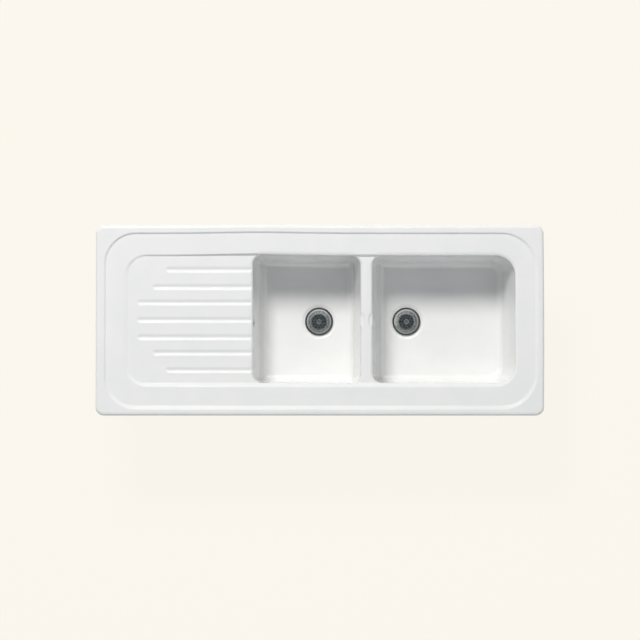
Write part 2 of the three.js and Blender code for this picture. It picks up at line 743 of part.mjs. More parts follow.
const stopperTop = valveTop + SEAT_GAP + STOPPER_THICKNESS;
const socketFloor = grateTop + SOCKET_FLOOR;
const stemTip = socketFloor + SEAT_GAP;

// Knob, collar and stem in one turned piece. The tip slides in the hollow screw head.
function basketPost() {
  const upperCollar = basketFloor + BASKET_SHEET + SEAT_GAP;
  return turned([
    [0, stemTip],
    [STEM_TIP_RADIUS, stemTip],
    [STEM_TIP_RADIUS, valveTop - COLLAR_HEIGHT],
    [COLLAR_RADIUS, valveTop - COLLAR_HEIGHT],
    [COLLAR_RADIUS, valveTop],
    [STEM_RADIUS, valveTop],
    [STEM_RADIUS, upperCollar],
    [COLLAR_RADIUS, upperCollar],
    [KNOB_NECK_RADIUS, upperCollar + 2 * COLLAR_HEIGHT],
    [KNOB_RADIUS - KNOB_ROUND, KNOB_HEIGHT - 2 * KNOB_SHOULDER],
    [KNOB_RADIUS, KNOB_HEIGHT - KNOB_SHOULDER],
    [KNOB_RADIUS - KNOB_ROUND, KNOB_HEIGHT - KNOB_ROUND],
    [KNOB_TOP_RADIUS + KNOB_ROUND, KNOB_HEIGHT - KNOB_ROUND / 4],
    [KNOB_TOP_RADIUS, KNOB_HEIGHT],
    [0, KNOB_HEIGHT],
  ], SMALL_SIDES);
}

function stopper() {
  const bevel = STOPPER_THICKNESS / 2;
  return turned([
    [STEM_RADIUS + FIT_GAP, stopperTop - STOPPER_THICKNESS],
    [STOPPER_RADIUS - bevel, stopperTop - STOPPER_THICKNESS],
    [STOPPER_RADIUS, stopperTop - bevel],
    [STOPPER_RADIUS - bevel, stopperTop],
    [STEM_RADIUS + FIT_GAP, stopperTop],
  ], HIDDEN_SIDES);
}

const screwHeadTop = grateTop + SEAT_GAP + SCREW_HEAD_HEIGHT;

// The head is hollow for the tip of the stem.
function clampScrew() {
  const socket = STEM_TIP_RADIUS + FIT_GAP;
  return turned([
    [0, grateTop - SCREW_LENGTH],
    [SCREW_RADIUS, grateTop - SCREW_LENGTH],
    [SCREW_RADIUS, grateTop + SEAT_GAP],
    [SCREW_HEAD_RADIUS, grateTop + SEAT_GAP],
    [SCREW_HEAD_RADIUS, screwHeadTop - SCREW_HEAD_BEVEL],
    [SCREW_HEAD_RADIUS - SCREW_HEAD_BEVEL, screwHeadTop],
    [socket, screwHeadTop],
    [socket, socketFloor],
    [0, socketFloor],
  ], SMALL_SIDES);
}

const lowerGasketTop = bossFace - SEAT_GAP;
const lowerBodyTop = lowerGasketTop - LOWER_GASKET - SEAT_GAP;
const funnelMouth = DRAIN_HOLE_RADIUS;
const spigotTop = lowerBodyTop - FUNNEL_DEPTH;
const spigotEnd = spigotTop - OUTLET_LENGTH;
const spigotBore = OUTLET_RADIUS - LOWER_BODY_WALL;

function lowerGasket() {
  const inner = DRAIN_HOLE_RADIUS + GASKET_MARGIN;
  const outer = LOWER_BODY_RADIUS - GASKET_MARGIN;
  const section = ringSection(inner, outer, lowerGasketTop - LOWER_GASKET, lowerGasketTop);
  return turned(section, HIDDEN_SIDES);
}

// Funnel with a clamping flange, an outlet spigot and a web that holds the screw's nut.
function lowerBody() {
  const flangeFoot = lowerBodyTop - LOWER_BODY_FLANGE;
  const throatFoot = flangeFoot - FUNNEL_THROAT;
  const skin = turned([
    [spigotBore, spigotEnd],
    [OUTLET_RADIUS, spigotEnd],
    [OUTLET_RADIUS, spigotTop],
    [funnelMouth + LOWER_BODY_WALL, throatFoot],
    [funnelMouth + LOWER_BODY_WALL, flangeFoot],
    [LOWER_BODY_RADIUS, flangeFoot],
    [LOWER_BODY_RADIUS, lowerBodyTop],
    [funnelMouth, lowerBodyTop],
    [funnelMouth, throatFoot],
    [spigotBore, spigotTop],
  ], HIDDEN_SIDES);
  const webTop = cupFloor - SEAT_GAP;
  const screwEnd = grateTop - SCREW_LENGTH - SEAT_GAP;
  const webFoot = screwEnd - HUB_FLOOR;
  const webs = round(2, (angle) => {
    const reach = funnelMouth + LOWER_BODY_WALL / 2;
    const web = new THREE.BoxGeometry(2 * reach, LOWER_BODY_WALL, webTop - webFoot);
    web.translate(0, 0, (webTop + webFoot) / 2);
    return solidOf(web).rotate([0, 0, angle / 2]);
  });
  const outside = turned([
    [0, spigotTop],
    [OUTLET_RADIUS, spigotTop],
    [funnelMouth + LOWER_BODY_WALL, throatFoot],
    [funnelMouth + LOWER_BODY_WALL, lowerBodyTop],
    [0, lowerBodyTop],
  ], HIDDEN_SIDES);
  const rod = (radius, bottom, top) => turned(ringSection(0, radius, bottom, top), SMALL_SIDES);
  const hub = rod(HUB_RADIUS, webFoot, webTop);
  const screwHole = rod(SCREW_RADIUS + SEAT_GAP, screwEnd, webTop + THROUGH);
  return cut(joined([skin, ...webs.map((web) => web.intersect(outside)), hub]), [screwHole]);
}

const washerTop = spigotEnd - SEAT_GAP;
const pipeTop = washerTop - OUTLET_WASHER - SEAT_GAP;
const pipeBore = PIPE_RADIUS - PIPE_WALL;

function outletWasher() {
  const section = ringSection(pipeBore, OUTLET_RADIUS, washerTop - OUTLET_WASHER, washerTop);
  return turned(section, HIDDEN_SIDES);
}

function tailpiece() {
  return turned([
    [pipeBore, pipeTop - PIPE_LENGTH],
    [PIPE_RADIUS, pipeTop - PIPE_LENGTH],
    [PIPE_RADIUS, pipeTop - PIPE_FLANGE],
    [OUTLET_RADIUS, pipeTop - PIPE_FLANGE],
    [OUTLET_RADIUS, pipeTop],
    [pipeBore, pipeTop],
  ], HIDDEN_SIDES);
}

function unionNut() {
  const lipTop = pipeTop - PIPE_FLANGE - SEAT_GAP;
  const bottom = lipTop - NUT_LIP;
  const top = bottom + NUT_HEIGHT;
  const body = turned([
    [0, bottom],
    [NUT_RADIUS - NUT_BEVEL, bottom],
    [NUT_RADIUS, bottom + NUT_BEVEL],
    [NUT_RADIUS, top],
    [0, top],
  ], HIDDEN_SIDES);
  const lug = turned(ringSection(0, NUT_LUG_RADIUS, bottom + NUT_LIP, top), LUG_SIDES);
  const lugs = round(NUT_LUGS, (angle) => (
    placed(lug, NUT_RADIUS - NUT_LUG_SET_IN, 0).rotate([0, 0, angle])
  ));
  const thread = OUTLET_RADIUS + SEAT_GAP;
  const throat = PIPE_RADIUS + FIT_GAP;
  const bore = turned([
    [0, bottom - THROUGH],
    [throat, bottom - THROUGH],
    [throat, lipTop],
    [thread, lipTop],
    [thread, top + THROUGH],
    [0, top + THROUGH],
  ], HIDDEN_SIDES);
  return cut(joined([body, ...lugs]), [bore]);
}

// ---- Assembly ----
function mesh(name, solid, finish) {
  const piece = new THREE.Mesh(geometryOf(solid), new THREE.MeshStandardMaterial(finish));
  piece.name = name;
  return piece;
}

const wastePieces = [
  ['flange_gasket', flangeGasket(), rubber],
  ['strainer_cup', strainerCup(), chrome],
  ['basket', basket(), steel],
  ['basket_post', basketPost(), chrome],
  ['basket_stopper', stopper(), rubber],
  ['clamp_screw', clampScrew(), steel],
  ['lower_gasket', lowerGasket(), rubber],
  ['lower_body', lowerBody(), plastic],
  ['outlet_washer', outletWasher(), rubber],
  ['tailpiece', tailpiece(), plastic],
  ['union_nut', unionNut(), plastic],
];

function waste(side) {
  const fitting = new THREE.Group();
  wastePieces.forEach(([name, solid, finish]) => {
    fitting.add(mesh(`${side}_${name}`, solid, finish));
  });
  fitting.position.set(drains[side].x, drains[side].y, DRAIN_SEAT);
  return fitting;
}

const sink = new THREE.Group();
Object.entries(castingPieces()).forEach(([name, solid]) => sink.add(mesh(name, solid, glaze)));
sink.add(mesh('rim_seal', rimSeal(), rubber));
sink.add(waste('left'));
sink.add(waste('right'));

export default sink;
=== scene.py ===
"""Looks of an inset kitchen sink in white glazed fireclay: drainboard, two bowls, two wastes.

Shapes are made in millimetres, in the part's own frame (x to the right, y to the back, z up from
the worktop), and turned to metres when they are done.
"""

import math

import bmesh
import bpy
from mathutils import Matrix, Vector


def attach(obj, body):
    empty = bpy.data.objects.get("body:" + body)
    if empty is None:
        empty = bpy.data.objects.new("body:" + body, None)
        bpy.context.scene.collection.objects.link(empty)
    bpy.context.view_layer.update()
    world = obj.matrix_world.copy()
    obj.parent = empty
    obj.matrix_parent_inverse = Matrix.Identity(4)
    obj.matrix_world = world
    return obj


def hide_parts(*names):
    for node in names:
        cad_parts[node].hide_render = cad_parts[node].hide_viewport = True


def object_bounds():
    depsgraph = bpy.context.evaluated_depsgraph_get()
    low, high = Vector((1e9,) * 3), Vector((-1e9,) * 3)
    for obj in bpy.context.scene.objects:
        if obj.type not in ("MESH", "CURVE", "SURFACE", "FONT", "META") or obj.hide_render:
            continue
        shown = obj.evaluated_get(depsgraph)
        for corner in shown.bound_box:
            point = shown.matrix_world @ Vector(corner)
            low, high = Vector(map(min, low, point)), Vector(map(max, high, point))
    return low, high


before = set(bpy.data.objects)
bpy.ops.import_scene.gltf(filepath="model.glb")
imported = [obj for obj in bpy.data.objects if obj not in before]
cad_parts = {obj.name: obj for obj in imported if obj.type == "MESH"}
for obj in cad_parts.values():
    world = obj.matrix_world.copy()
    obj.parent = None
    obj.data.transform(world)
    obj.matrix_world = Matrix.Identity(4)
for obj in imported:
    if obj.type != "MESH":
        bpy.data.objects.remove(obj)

cad_box = [list(corner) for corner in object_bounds()]

MM = 0.001
QUARTER = math.pi / 2

# ---- Sizes of the casting, in millimetres ----
# Some differ from the part's source by a few millimetres, to follow the photograph.
RIM_HALF_LENGTH = 580
RIM_HALF_DEPTH = 247.5
RIM_CORNER = 22
SEAT = 2  # underside of the rim
RIM_TOP = 17
LEDGE = 12
BOARD_FAR = 8.5
BOARD_NEAR = 3.5
FLOOR = -168
FLOOR_UNDERSIDE = -180
BOSS_UNDERSIDE = -200
DECK_UNDERSIDE = -8.5
SKIRT_UNDERSIDE = -28.5
DRAIN_SEAT = -171
CUTTER_TOP = 22  # well above the rim
THROUGH = 5  # cutters pass a surface by this much
RIM_EDGE_ROUND = 10
RIM_FOOT_ROUND = 2
LEDGE_STEP_WIDTHS = (8, 11, 14, 6.5)  # left, right, front, back
POCKET_STEP_WIDTHS = (10, 12, 14, 6.5)
BOWL_FRONT = -162
BOWL_BACK = 168
TIGHT_CORNER = 25
WIDE_CORNER = 51
WALL = 10
FRONT_DRAFT = 3.7  # how far the walls lean in on their way down
BACK_DRAFT = 6
SIDE_DRAFT = 16
END_DRAFT = 20
FLOOR_FILLET = 22
LIP_ROUND = 10  # at the drainboard and the divider
LEDGE_LIP_ROUND = 8
LIP_STRETCH = {"right": 1.25, "front": 1.75, "back": 1.35}  # lips wider than they are deep
SHELL_SET_IN = 1.0  # the bowls' outsides start this far inside the walls' full thickness
SHELL_FLARE = 8  # soft hollow between a bowl's outside and the deck
BODY_INSET = 17  # the body below the rim stands inside the rim's edge
SKIRT_FOOT_ROUND = 3
RIB_COUNT = 3
RIB_WIDTH = 8
RIB_FOOT_ROUND = 2
BOSS_RADIUS = 52
BOSS_BEVEL = 3
DRAIN_HOLE_RADIUS = 30.5
DRAIN_HOLE_ROUND = 2.5
DISH_RADIUS = 48
DISH_SLOPE = 10  # width of the soft step down into the dish
DUCT_WIDTH = 50
DUCT_GAP = 9  # height of the ducts under the floors, and depth of those in the walls
DUCT_WALL = 6
DUCT_EDGE_ROUND = 3
DUCT_SET_IN = 1  # the left duct runs this far into the bowl's wall
SLOT_LENGTH = 32
SLOT_HEIGHTS = (-18.5, -9.5)
SCOOP_HALF_SIZES = (28, 37, 26)
SCOOP_SET_BACK = 9  # from the wall's face to the scoop's centre
SCOOP_RISE = 17  # from the divider's top to the scoop's centre
HOLE_RADIUS = 11  # round overflow hole in the left wall
HOLE_DROP = 24  # from the drainboard to its centre
HOLE_OFFSET = -7  # from the bowls' middle, towards the front
GROOVES = [(0, -474), (45, -474), (85, -434), (130, -400)]  # distance from the middle, and start
GROOVE_SHIFT = -1  # the whole set lies this far from the bowls' middle
GROOVE_WIDTH = 18
GROOVE_DEPTH = 2.6
GROOVE_TIP = 10  # length of the run-out
GROOVE_TIP_SHARE = 0.12  # of the width is left where the run-out starts
GROOVE_OVERRUN = 25  # past the bowl's edge
SEAL_INSET = 3
SEAL_WIDTH = 9
SEAL_TOP = 1.7
SEAL_BEVEL = 0.5

# ---- How the fired clay wanders, in millimetres ----
BOW_CENTRE = -160
BOW_WIDTH = 130
INNER_BOW = 3.0  # of the back lines inside the rim
INNER_SAG = 0.9
OUTER_BOW = 1.6  # of the rim's back edge
INNER_SHIFT = 1.2  # everything inside the rim lies this far to the front
END_ROUND = 1.3  # the right end's corners draw back this far
BOW_SETS_IN = (60, 165)  # distances from the middle between which each of these grows
OUTER_SETS_IN = (228, 240)
SHIFT_FADES = (232, 242)
END_SETS_IN = (500, 560)

# ---- Sizes of a waste, in millimetres ----
# Heights count from the seat in the dish. Bare numbers in the profiles further down are the ends
# of small bevels and points of curves that lie between these sizes.
SEAT_GAP = 0.3  # between a gasket and what presses on it
GASKET_BORE = 32
FLANGE_GASKET_RADIUS = 36
FLANGE_GASKET_TOP = 1.8
FLANGE_RADIUS = 37.5
FLANGE_FOOT = 2.1
FLANGE_TOP = 4.1
CONE_TOP_RADIUS = 32.4
CONE_FOOT = 0.9
CUP_BORE = 28.4
CUP_RADIUS = 29.9
CUP_SHOULDER = -17.5
CUP_FOOT_RADIUS = 24
CUP_FOOT_BORE = 22.5
CUP_FOOT_TOP = -19
CUP_UNDERSIDE = -31
CUP_SLOTS = 6
CUP_SLOT_SIZE = (6, 8, 8)
CUP_SLOT_CENTRE = (24, 0, -23.5)
VALVE_SEAT = -16
VALVE_HOLE_RADIUS = 18.5
GRATE_TOP = -28
GRATE_BORE = 4.4
GRATE_SLOTS = 10
GRATE_SLOT_SIZE = (11.5, 3.4, 6)
GRATE_SLOT_CENTRE = (14.75, 0, -29.5)
STEM_BORE = 3.4  # hole for the stem in basket and stopper
STEM_RADIUS = 3
STEM_TIP_RADIUS = 2.2
COLLAR_RADIUS = 5
SHEET_UNDERSIDE = -10.8  # of the basket's floor
SHEET_TOP = -9.8
FLOOR_HOLES = ((6, 9.8), (12, 16.2))  # count and radius of each ring
FLOOR_HOLE_RADIUS = 1.6
SIDE_HOLES = 12
SIDE_HOLE_RADIUS = 1.2
STOPPER_RADIUS = 21.5
STOPPER_FOOT = -15.7
STOPPER_TOP = -13.5
SCREW_END = -48
SCREW_TURNS = 17
SCREW_CORE = 3.6
SCREW_RADIUS = 4
SCREW_HOLE_RADIUS = 4.3
SCREW_HEAD_RADIUS = 6
SCREW_HEAD_FOOT = -27.7
SCREW_HEAD_TOP = -21.7
SCREW_HEAD_BEVEL = 1
SOCKET_RADIUS = 2.6
SOCKET_FLOOR = -27
LOWER_GASKET_RADIUS = 44.5
LOWER_GASKET_FOOT = -32.3
LOWER_GASKET_TOP = -29.3
BODY_FLANGE_RADIUS = 46
BODY_FLANGE_FOOT = -36.6
BODY_TOP = -32.6
FUNNEL_RADIUS = 33.5
FUNNEL_BORE = 30.5
THROAT = -42.6  # foot of the funnel's straight part
FUNNEL_FOOT = -58.6
SPIGOT_RADIUS = 22
SPIGOT_BORE = 19
SPIGOT_FOOT = -82.6
WEB_SIZE = (64, 3, 19)
WEB_CENTRE = (0, 0, -40.8)
HUB_RADIUS = 7
HUB_FOOT = -50.3
HUB_TOP = -31.3
HUB_FLOOR = -48.3
GUSSETS = 12
GUSSET_SIZE = (9, 2, 5)
GUSSET_CENTRE = (37, 0, -38.6)
THREAD_TURNS = 3
THREAD_PITCH = 4
THREAD_FOOT = -80.5
WASHER_FOOT = -84.9
WASHER_TOP = -82.9
PIPE_RADIUS = 20
PIPE_BORE = 17.5
PIPE_FLANGE_TOP = -85.2
PIPE_FLANGE_FOOT = -87.7
PIPE_END = -151.2
NUT_RADIUS = 28
NUT_BORE = 22.3
NUT_LIP_BORE = 20.4
NUT_LIP_TOP = -88
NUT_TOP = -67
NUT_FOOT = -91
NUT_BEVEL = 1.5
NUT_LUGS = 8
NUT_LUG_RADIUS = 4
NUT_LUG_SET_IN = 1  # its centre lies this far inside the nut's outside
NUT_GRIP_RADIUS = 0.9
NUT_GRIP_ENDS = (-87, -69)
NUT_GRIP_TURNS = (0.3, 0.4854)  # from a lug to the two ribs beside it

# ---- Smoothness ----
CORNER_STEPS = 14
SIDE_STEPS = 16
HIDDEN_STEPS = 4  # along the sides of what lies underneath
STEP_RINGS = 10
FILLET_RINGS = 12
LIP_RINGS = 8
FLARE_RINGS = 6
FOOT_RINGS = 4
GROOVE_TIP_STEPS = 10
GROOVE_HALF_STEPS = 10
ROUND_SIDES = 96
SMALL_SIDES = 32

GLAZED, BARE = 0, 1  # material slots of the casting; other pieces have the first alone


# ---- Plans: rounded rectangles (x0, x1, y0, y1, four corner radii) ----
def plan(x0, x1, y0, y1, radii):
    """Radii: front right, back right, back left, front left."""
    return x0, x1, y0, y1, radii if isinstance(radii, list) else [radii] * 4


def grown(base, left, right=None, front=None, back=None):
    """The plan with its sides moved outwards and its corners kept in step."""
    if right is None:
        right = front = back = left
    x0, x1, y0, y1, radii = base
    pairs = (front + right, back + right, back + left, front + left)
    corners = [max(radius + both / 2, 0.5) for radius, both in zip(radii, pairs)]
    return x0 - left, x1 + right, y0 - front, y1 + back, corners


def outline(shape, side_steps):
    """Points round a plan, anticlockwise from its front right corner."""
    x0, x1, y0, y1, radii = shape
    centres = [
        (x1 - radii[0], y0 + radii[0]),
        (x1 - radii[1], y1 - radii[1]),
        (x0 + radii[2], y1 - radii[2]),
        (x0 + radii[3], y0 + radii[3]),
    ]
    arcs = []
    for corner, (x, y) in enumerate(centres):
        angles = [QUARTER * (corner - 1 + k / CORNER_STEPS) for k in range(CORNER_STEPS + 1)]
        arcs.append([
            Vector((x + radii[corner] * math.cos(a), y + radii[corner] * math.sin(a)))
            for a in angles
        ])
    points = []
    for arc, following in zip(arcs, arcs[1:] + arcs[:1]):
        points += arc
        points += [arc[-1].lerp(following[0], k / side_steps) for k in range(1, side_steps)]
    return points


def smooth(low, high, value):
    """0 below low, 1 above high, and a soft S between them."""
    t = min(max((value - low) / (high - low), 0), 1)
    return t * t * (3 - 2 * t)


def handmade(point):
    """Fired clay wanders: the back lines bow by up to 3 mm and the right end is slightly round."""
    x, y = point
    bow = math.exp(-(((x - BOW_CENTRE) / BOW_WIDTH) ** 2))
    inner = INNER_BOW * bow - INNER_SAG
    outer = OUTER_BOW * (bow - 1)
    to_edge = smooth(*OUTER_SETS_IN, y)
    y += smooth(*BOW_SETS_IN, y) * (inner + (outer - inner) * to_edge)
    y -= INNER_SHIFT * (1 - smooth(*SHIFT_FADES, abs(point[1])))
    x -= END_ROUND * (y / RIM_HALF_DEPTH) ** 2 * smooth(*END_SETS_IN, x)
    return x, y


# ---- Solids ----
def solid(name, bm, finish=GLAZED):
    """Closes off a bmesh as an object of its own that faces outwards."""
    bmesh.ops.recalc_face_normals(bm, faces=bm.faces)
    for face in bm.faces:
        face.material_index = finish
    mesh = bpy.data.meshes.new(name)
    bm.to_mesh(mesh)
    bm.free()
    for empty_slot in (GLAZED, BARE):  # without slots, booleans forget which face is which
        mesh.materials.append(None)
    piece = bpy.data.objects.new(name, mesh)
    bpy.context.scene.collection.objects.link(piece)
    return piece


def ring_edges(bm, ring):
    return [bm.edges.get(pair) for pair in zip(ring, ring[1:] + ring[:1])]


def next_ring(bm, ring, count):
    """The capped first ring of a skin, or after it a new ring extruded from the last one."""
    if not ring:
        return bmesh.ops.create_circle(bm, cap_ends=True, segments=count, radius=1)["verts"]
    made = set(bmesh.ops.extrude_edge_only(bm, edges=ring_edges(bm, ring))["geom"])
    return [next(e.other_vert(v) for e in v.link_edges if e.other_vert(v) in made) for v in ring]


def loft(name, levels, finish=GLAZED, side_steps=SIDE_STEPS, wander=handmade):
    """A closed skin through a stack of plans, from the bottom up. A height may depend on x."""
    bm = bmesh.new()
    ring = []
    for shape, height in levels:
        points = outline(shape, side_steps)
        ring = next_ring(bm, ring, len(points))
        for vert, point in zip(ring, points):
            x, y = wander(point) if wander else point
            vert.co = x, y, height(x) if callable(height) else height
    bmesh.ops.edgeloop_fill(bm, edges=ring_edges(bm, ring))
    return solid(name, bm, finish)


def hidden_loft(name, levels, finish=BARE, side_steps=HIDDEN_STEPS):
    """A skin for what lies underneath: few points along its sides, and true to its plans."""
    return loft(name, levels, finish, side_steps, wander=None)


def turned(name, profile, rounding=0.0, finish=GLAZED, sides=ROUND_SIDES):
    """A solid turned about the Z axis from (radius, height) points, its corners rounded first."""
    bm = bmesh.new()
    verts = [bm.verts.new((radius, 0, height)) for radius, height in profile]
    pairs = list(zip(verts, verts[1:]))
    if profile[0][0] > 0:
        pairs.append((verts[-1], verts[0]))
    for pair in pairs:
        bm.edges.new(pair)
    if rounding:
        corners = [v for v in verts if v.co.x > 0]
        bmesh.ops.bevel(
            bm, geom=corners, offset=rounding, offset_type="OFFSET", segments=3, profile=0.5,
            affect="VERTICES", material=-1, clamp_overlap=True,
        )
    bmesh.ops.spin(
        bm, geom=bm.verts[:] + bm.edges[:], cent=(0, 0, 0), axis=(0, 0, 1),
        angle=2 * math.pi, steps=sides, use_merge=True, use_duplicate=False,
    )
    bmesh.ops.remove_doubles(bm, verts=bm.verts, dist=1e-4)
    return solid(name, bm, finish)


def flat_ring(name, bore, radius, foot, top, rounding):
    """A turned ring with a square section, such as a gasket."""
    return turned(name, [(bore, foot), (radius, foot), (radius, top), (bore, top)], rounding)


def block(name, size, centre, turn=0.0, rounding=0.0):
    """A box with softened edges, turned about the Z axis after it is placed."""
    bm = bmesh.new()
    bmesh.ops.create_cube(bm, size=1)
    bmesh.ops.scale(bm, vec=size, verts=bm.verts)
    if rounding:
        bmesh.ops.bevel(
            bm, geom=bm.edges[:], offset=rounding, offset_type="OFFSET", segments=2,
            profile=0.5, affect="EDGES", material=-1, clamp_overlap=True,
        )
    bmesh.ops.translate(bm, vec=centre, verts=bm.verts)
    bmesh.ops.rotate(bm, cent=(0, 0, 0), matrix=Matrix.Rotation(turn, 3, "Z"), verts=bm.verts)
    return solid(name, bm)


def rod(name, radius, ends, sides):
    """A straight round bar between two points."""
    start, end = Vector(ends[0]), Vector(ends[1])
    bm = bmesh.new()
    bmesh.ops.create_cone(
        bm, cap_ends=True, segments=sides, radius1=radius, radius2=radius,
        depth=(end - start).length,
    )
    turn = (end - start).to_track_quat("Z", "Y").to_matrix()
    bmesh.ops.rotate(bm, cent=(0, 0, 0), matrix=turn, verts=bm.verts)
    bmesh.ops.translate(bm, vec=(start + end) / 2, verts=bm.verts)
    return solid(name, bm)


def moved(piece, x, y, z=0.0):
    piece.data.transform(Matrix.Translation((x, y, z)))
    return piece


def worked(base, tools, operation):
    """Joins the tools to the base, cuts them from it, or keeps what they share with it."""
    for tool in tools:
        step = base.modifiers.new(tool.name, "BOOLEAN")
        step.object = tool
        step.operation = operation
        step.solver = "MANIFOLD"
    graph = bpy.context.evaluated_depsgraph_get()
    result = bpy.data.meshes.new_from_object(base.evaluated_get(graph))
    base.modifiers.clear()
    base.data = result
    for tool in tools:
        bpy.data.objects.remove(tool)
    return base


def ring_of(count):
    """Angles of a number of copies round a circle."""
    return [2 * math.pi * i / count for i in range(count)]


def quarter_steps(count):
    """Angles from 0 to a right angle, for a rounded edge."""
    return [QUARTER * k / count for k in range(count + 1)]


def soft_rise():
    """Half a cosine wave as pairs: share of the way along, and share of the rise."""
    shares = [k / STEP_RINGS for k in range(STEP_RINGS + 1)]
    return [(along, (1 - math.cos(math.pi * along)) / 2) for along in shares]


# ---- The casting's plans ----
rim = plan(-RIM_HALF_LENGTH, RIM_HALF_LENGTH, -RIM_HALF_DEPTH, RIM_HALF_DEPTH, RIM_CORNER)
ledge = plan(-556, 560, -225.5, 226, [90, 90, 80, 80])
pocket = plan(-501, 506, -166.5, 169, 52)
left_bowl = plan(-173.2, 104.8, BOWL_FRONT, BOWL_BACK, TIGHT_CORNER)
right_bowl = plan(
    136.3, 505, BOWL_FRONT, BOWL_BACK, [WIDE_CORNER, WIDE_CORNER, TIGHT_CORNER, TIGHT_CORNER],
)
underbody = grown(rim, -BODY_INSET)
MIDDLE = 1.25  # of the bowls, from front to back
DIVIDER = 121.25  # middle of the divider
DRAINS = {"left": -2.5, "right": 229.0}
LEFT_LEAN = (SIDE_DRAFT, SIDE_DRAFT, FRONT_DRAFT, BACK_DRAFT)
RIGHT_LEAN = (SIDE_DRAFT, END_DRAFT, FRONT_DRAFT, BACK_DRAFT)
board_end = left_bowl[0] - LIP_ROUND
board_slope = (BOARD_NEAR - BOARD_FAR) / (board_end - pocket[0])


def board_height(x):
    return BOARD_FAR + board_slope * (x - pocket[0])


# ---- The casting's cutters ----
def step_cutter(name, line, widths, base, top):
    """A soft step down from top to base round a line, with a width of its own on each side."""
    levels = []
    for along, rise in soft_rise():
        shape = grown(line, *(width * (along - 0.5) for width in widths))
        levels.append((shape, lambda x, rise=rise: base(x) + (top - base(x)) * rise))
    return loft(name, levels + [(levels[-1][0], CUTTER_TOP)])


def lip_flare(z, top, radius):
    """How far a rounded lip has opened out at a height."""
    up = min(max(z - (top - radius), 0), radius)
    return radius - math.sqrt(radius * radius - up * up)


def leaned(bowl, lean, outward):
    """A bowl's plan where its walls have leaned in, moved outwards by the same amount all round."""
    return grown(bowl, *(outward - side for side in lean))


def bowl_cutter(name, bowl, lean, low_right):
    """A bowl: filleted floor, leaning walls, and lips that are lower at the board and divider.

    The lip on the left is always a low one; low_right says that the right one is low too.
    """
    levels = []
    for angle in quarter_steps(FILLET_RINGS):
        outward = -FLOOR_FILLET * (1 - math.sin(angle))
        levels.append((leaned(bowl, lean, outward), FLOOR + FLOOR_FILLET * (1 - math.cos(angle))))
    heights = {BOARD_NEAR - LIP_ROUND, CUTTER_TOP}
    for top, radius in ((BOARD_NEAR, LIP_ROUND), (LEDGE, LEDGE_LIP_ROUND)):
        heights |= {top - radius + radius * math.sin(angle) for angle in quarter_steps(LIP_RINGS)}
    for z in sorted(heights):
        low = lip_flare(z, BOARD_NEAR, LIP_ROUND)
        high = lip_flare(z, LEDGE, LEDGE_LIP_ROUND)
        right = low if low_right else high * LIP_STRETCH["right"]
        lips = (low, right, high * LIP_STRETCH["front"], high * LIP_STRETCH["back"])
        levels.append((grown(bowl, *lips), z))
    return loft(name, levels)


def groove_section(x, y, swell):
    """A groove's section as (y, z) points: a cosine wave below, closed off well above it."""
    half = GROOVE_WIDTH / 2 * (GROOVE_TIP_SHARE + (1 - GROOVE_TIP_SHARE) * swell)
    depth = GROOVE_DEPTH * swell * swell
    section = []
    for k in range(-GROOVE_HALF_STEPS, GROOVE_HALF_STEPS + 1):
        across = k / GROOVE_HALF_STEPS
        hollow = (1 + math.cos(math.pi * across)) / 2
        section.append((y + across * half, board_height(x) - depth * hollow))
    above = half * 1.02  # a little wider, clear of the wave's ends
    return section + [(y + above, CUTTER_TOP), (y - above, CUTTER_TOP)]


def groove_cutter(y, start):
    """A soft groove with a short round run-out at its closed end."""
    stations = [
        start + GROOVE_TIP * (1 - math.cos(QUARTER * k / GROOVE_TIP_STEPS))
        for k in range(1, GROOVE_TIP_STEPS + 1)
    ]
    stations.append(left_bowl[0] + GROOVE_OVERRUN)
    bm = bmesh.new()
    ring = []
    for x in stations:
        along = min((x - start) / GROOVE_TIP, 1)
        section = groove_section(x, y, math.sqrt(max(1 - (1 - along) ** 2, 0)))
        ring = next_ring(bm, ring, len(section))
        for vert, (across, height) in zip(ring, section):
            vert.co = x, across, height
    bmesh.ops.edgeloop_fill(bm, edges=ring_edges(bm, ring))
    return solid("groove", bm)


def drain_cutters(x):
    """The shallow dish round a waste's flange, and its hole with a rounded edge."""
    dish = [(0, DRAIN_SEAT)]
    for along, rise in soft_rise():
        radius = DISH_RADIUS - DISH_SLOPE * (1 - along)
        dish.append((radius, DRAIN_SEAT + rise * (FLOOR - DRAIN_SEAT)))
    dish += [(DISH_RADIUS, FLOOR + THROUGH), (0, FLOOR + THROUGH)]
    foot = BOSS_UNDERSIDE - THROUGH
    hole = [(0, foot), (DRAIN_HOLE_RADIUS, foot)]
    for angle in quarter_steps(LIP_RINGS):
        hole.append((
            DRAIN_HOLE_RADIUS + DRAIN_HOLE_ROUND * (1 - math.cos(angle)),
            DRAIN_SEAT - DRAIN_HOLE_ROUND * (1 - math.sin(angle)),
        ))
    hole += [(DRAIN_HOLE_RADIUS + DRAIN_HOLE_ROUND, FLOOR), (0, FLOOR)]
    return [
        moved(turned("dish", dish), x, MIDDLE),
        moved(turned("drain_hole", hole), x, MIDDLE),
    ]


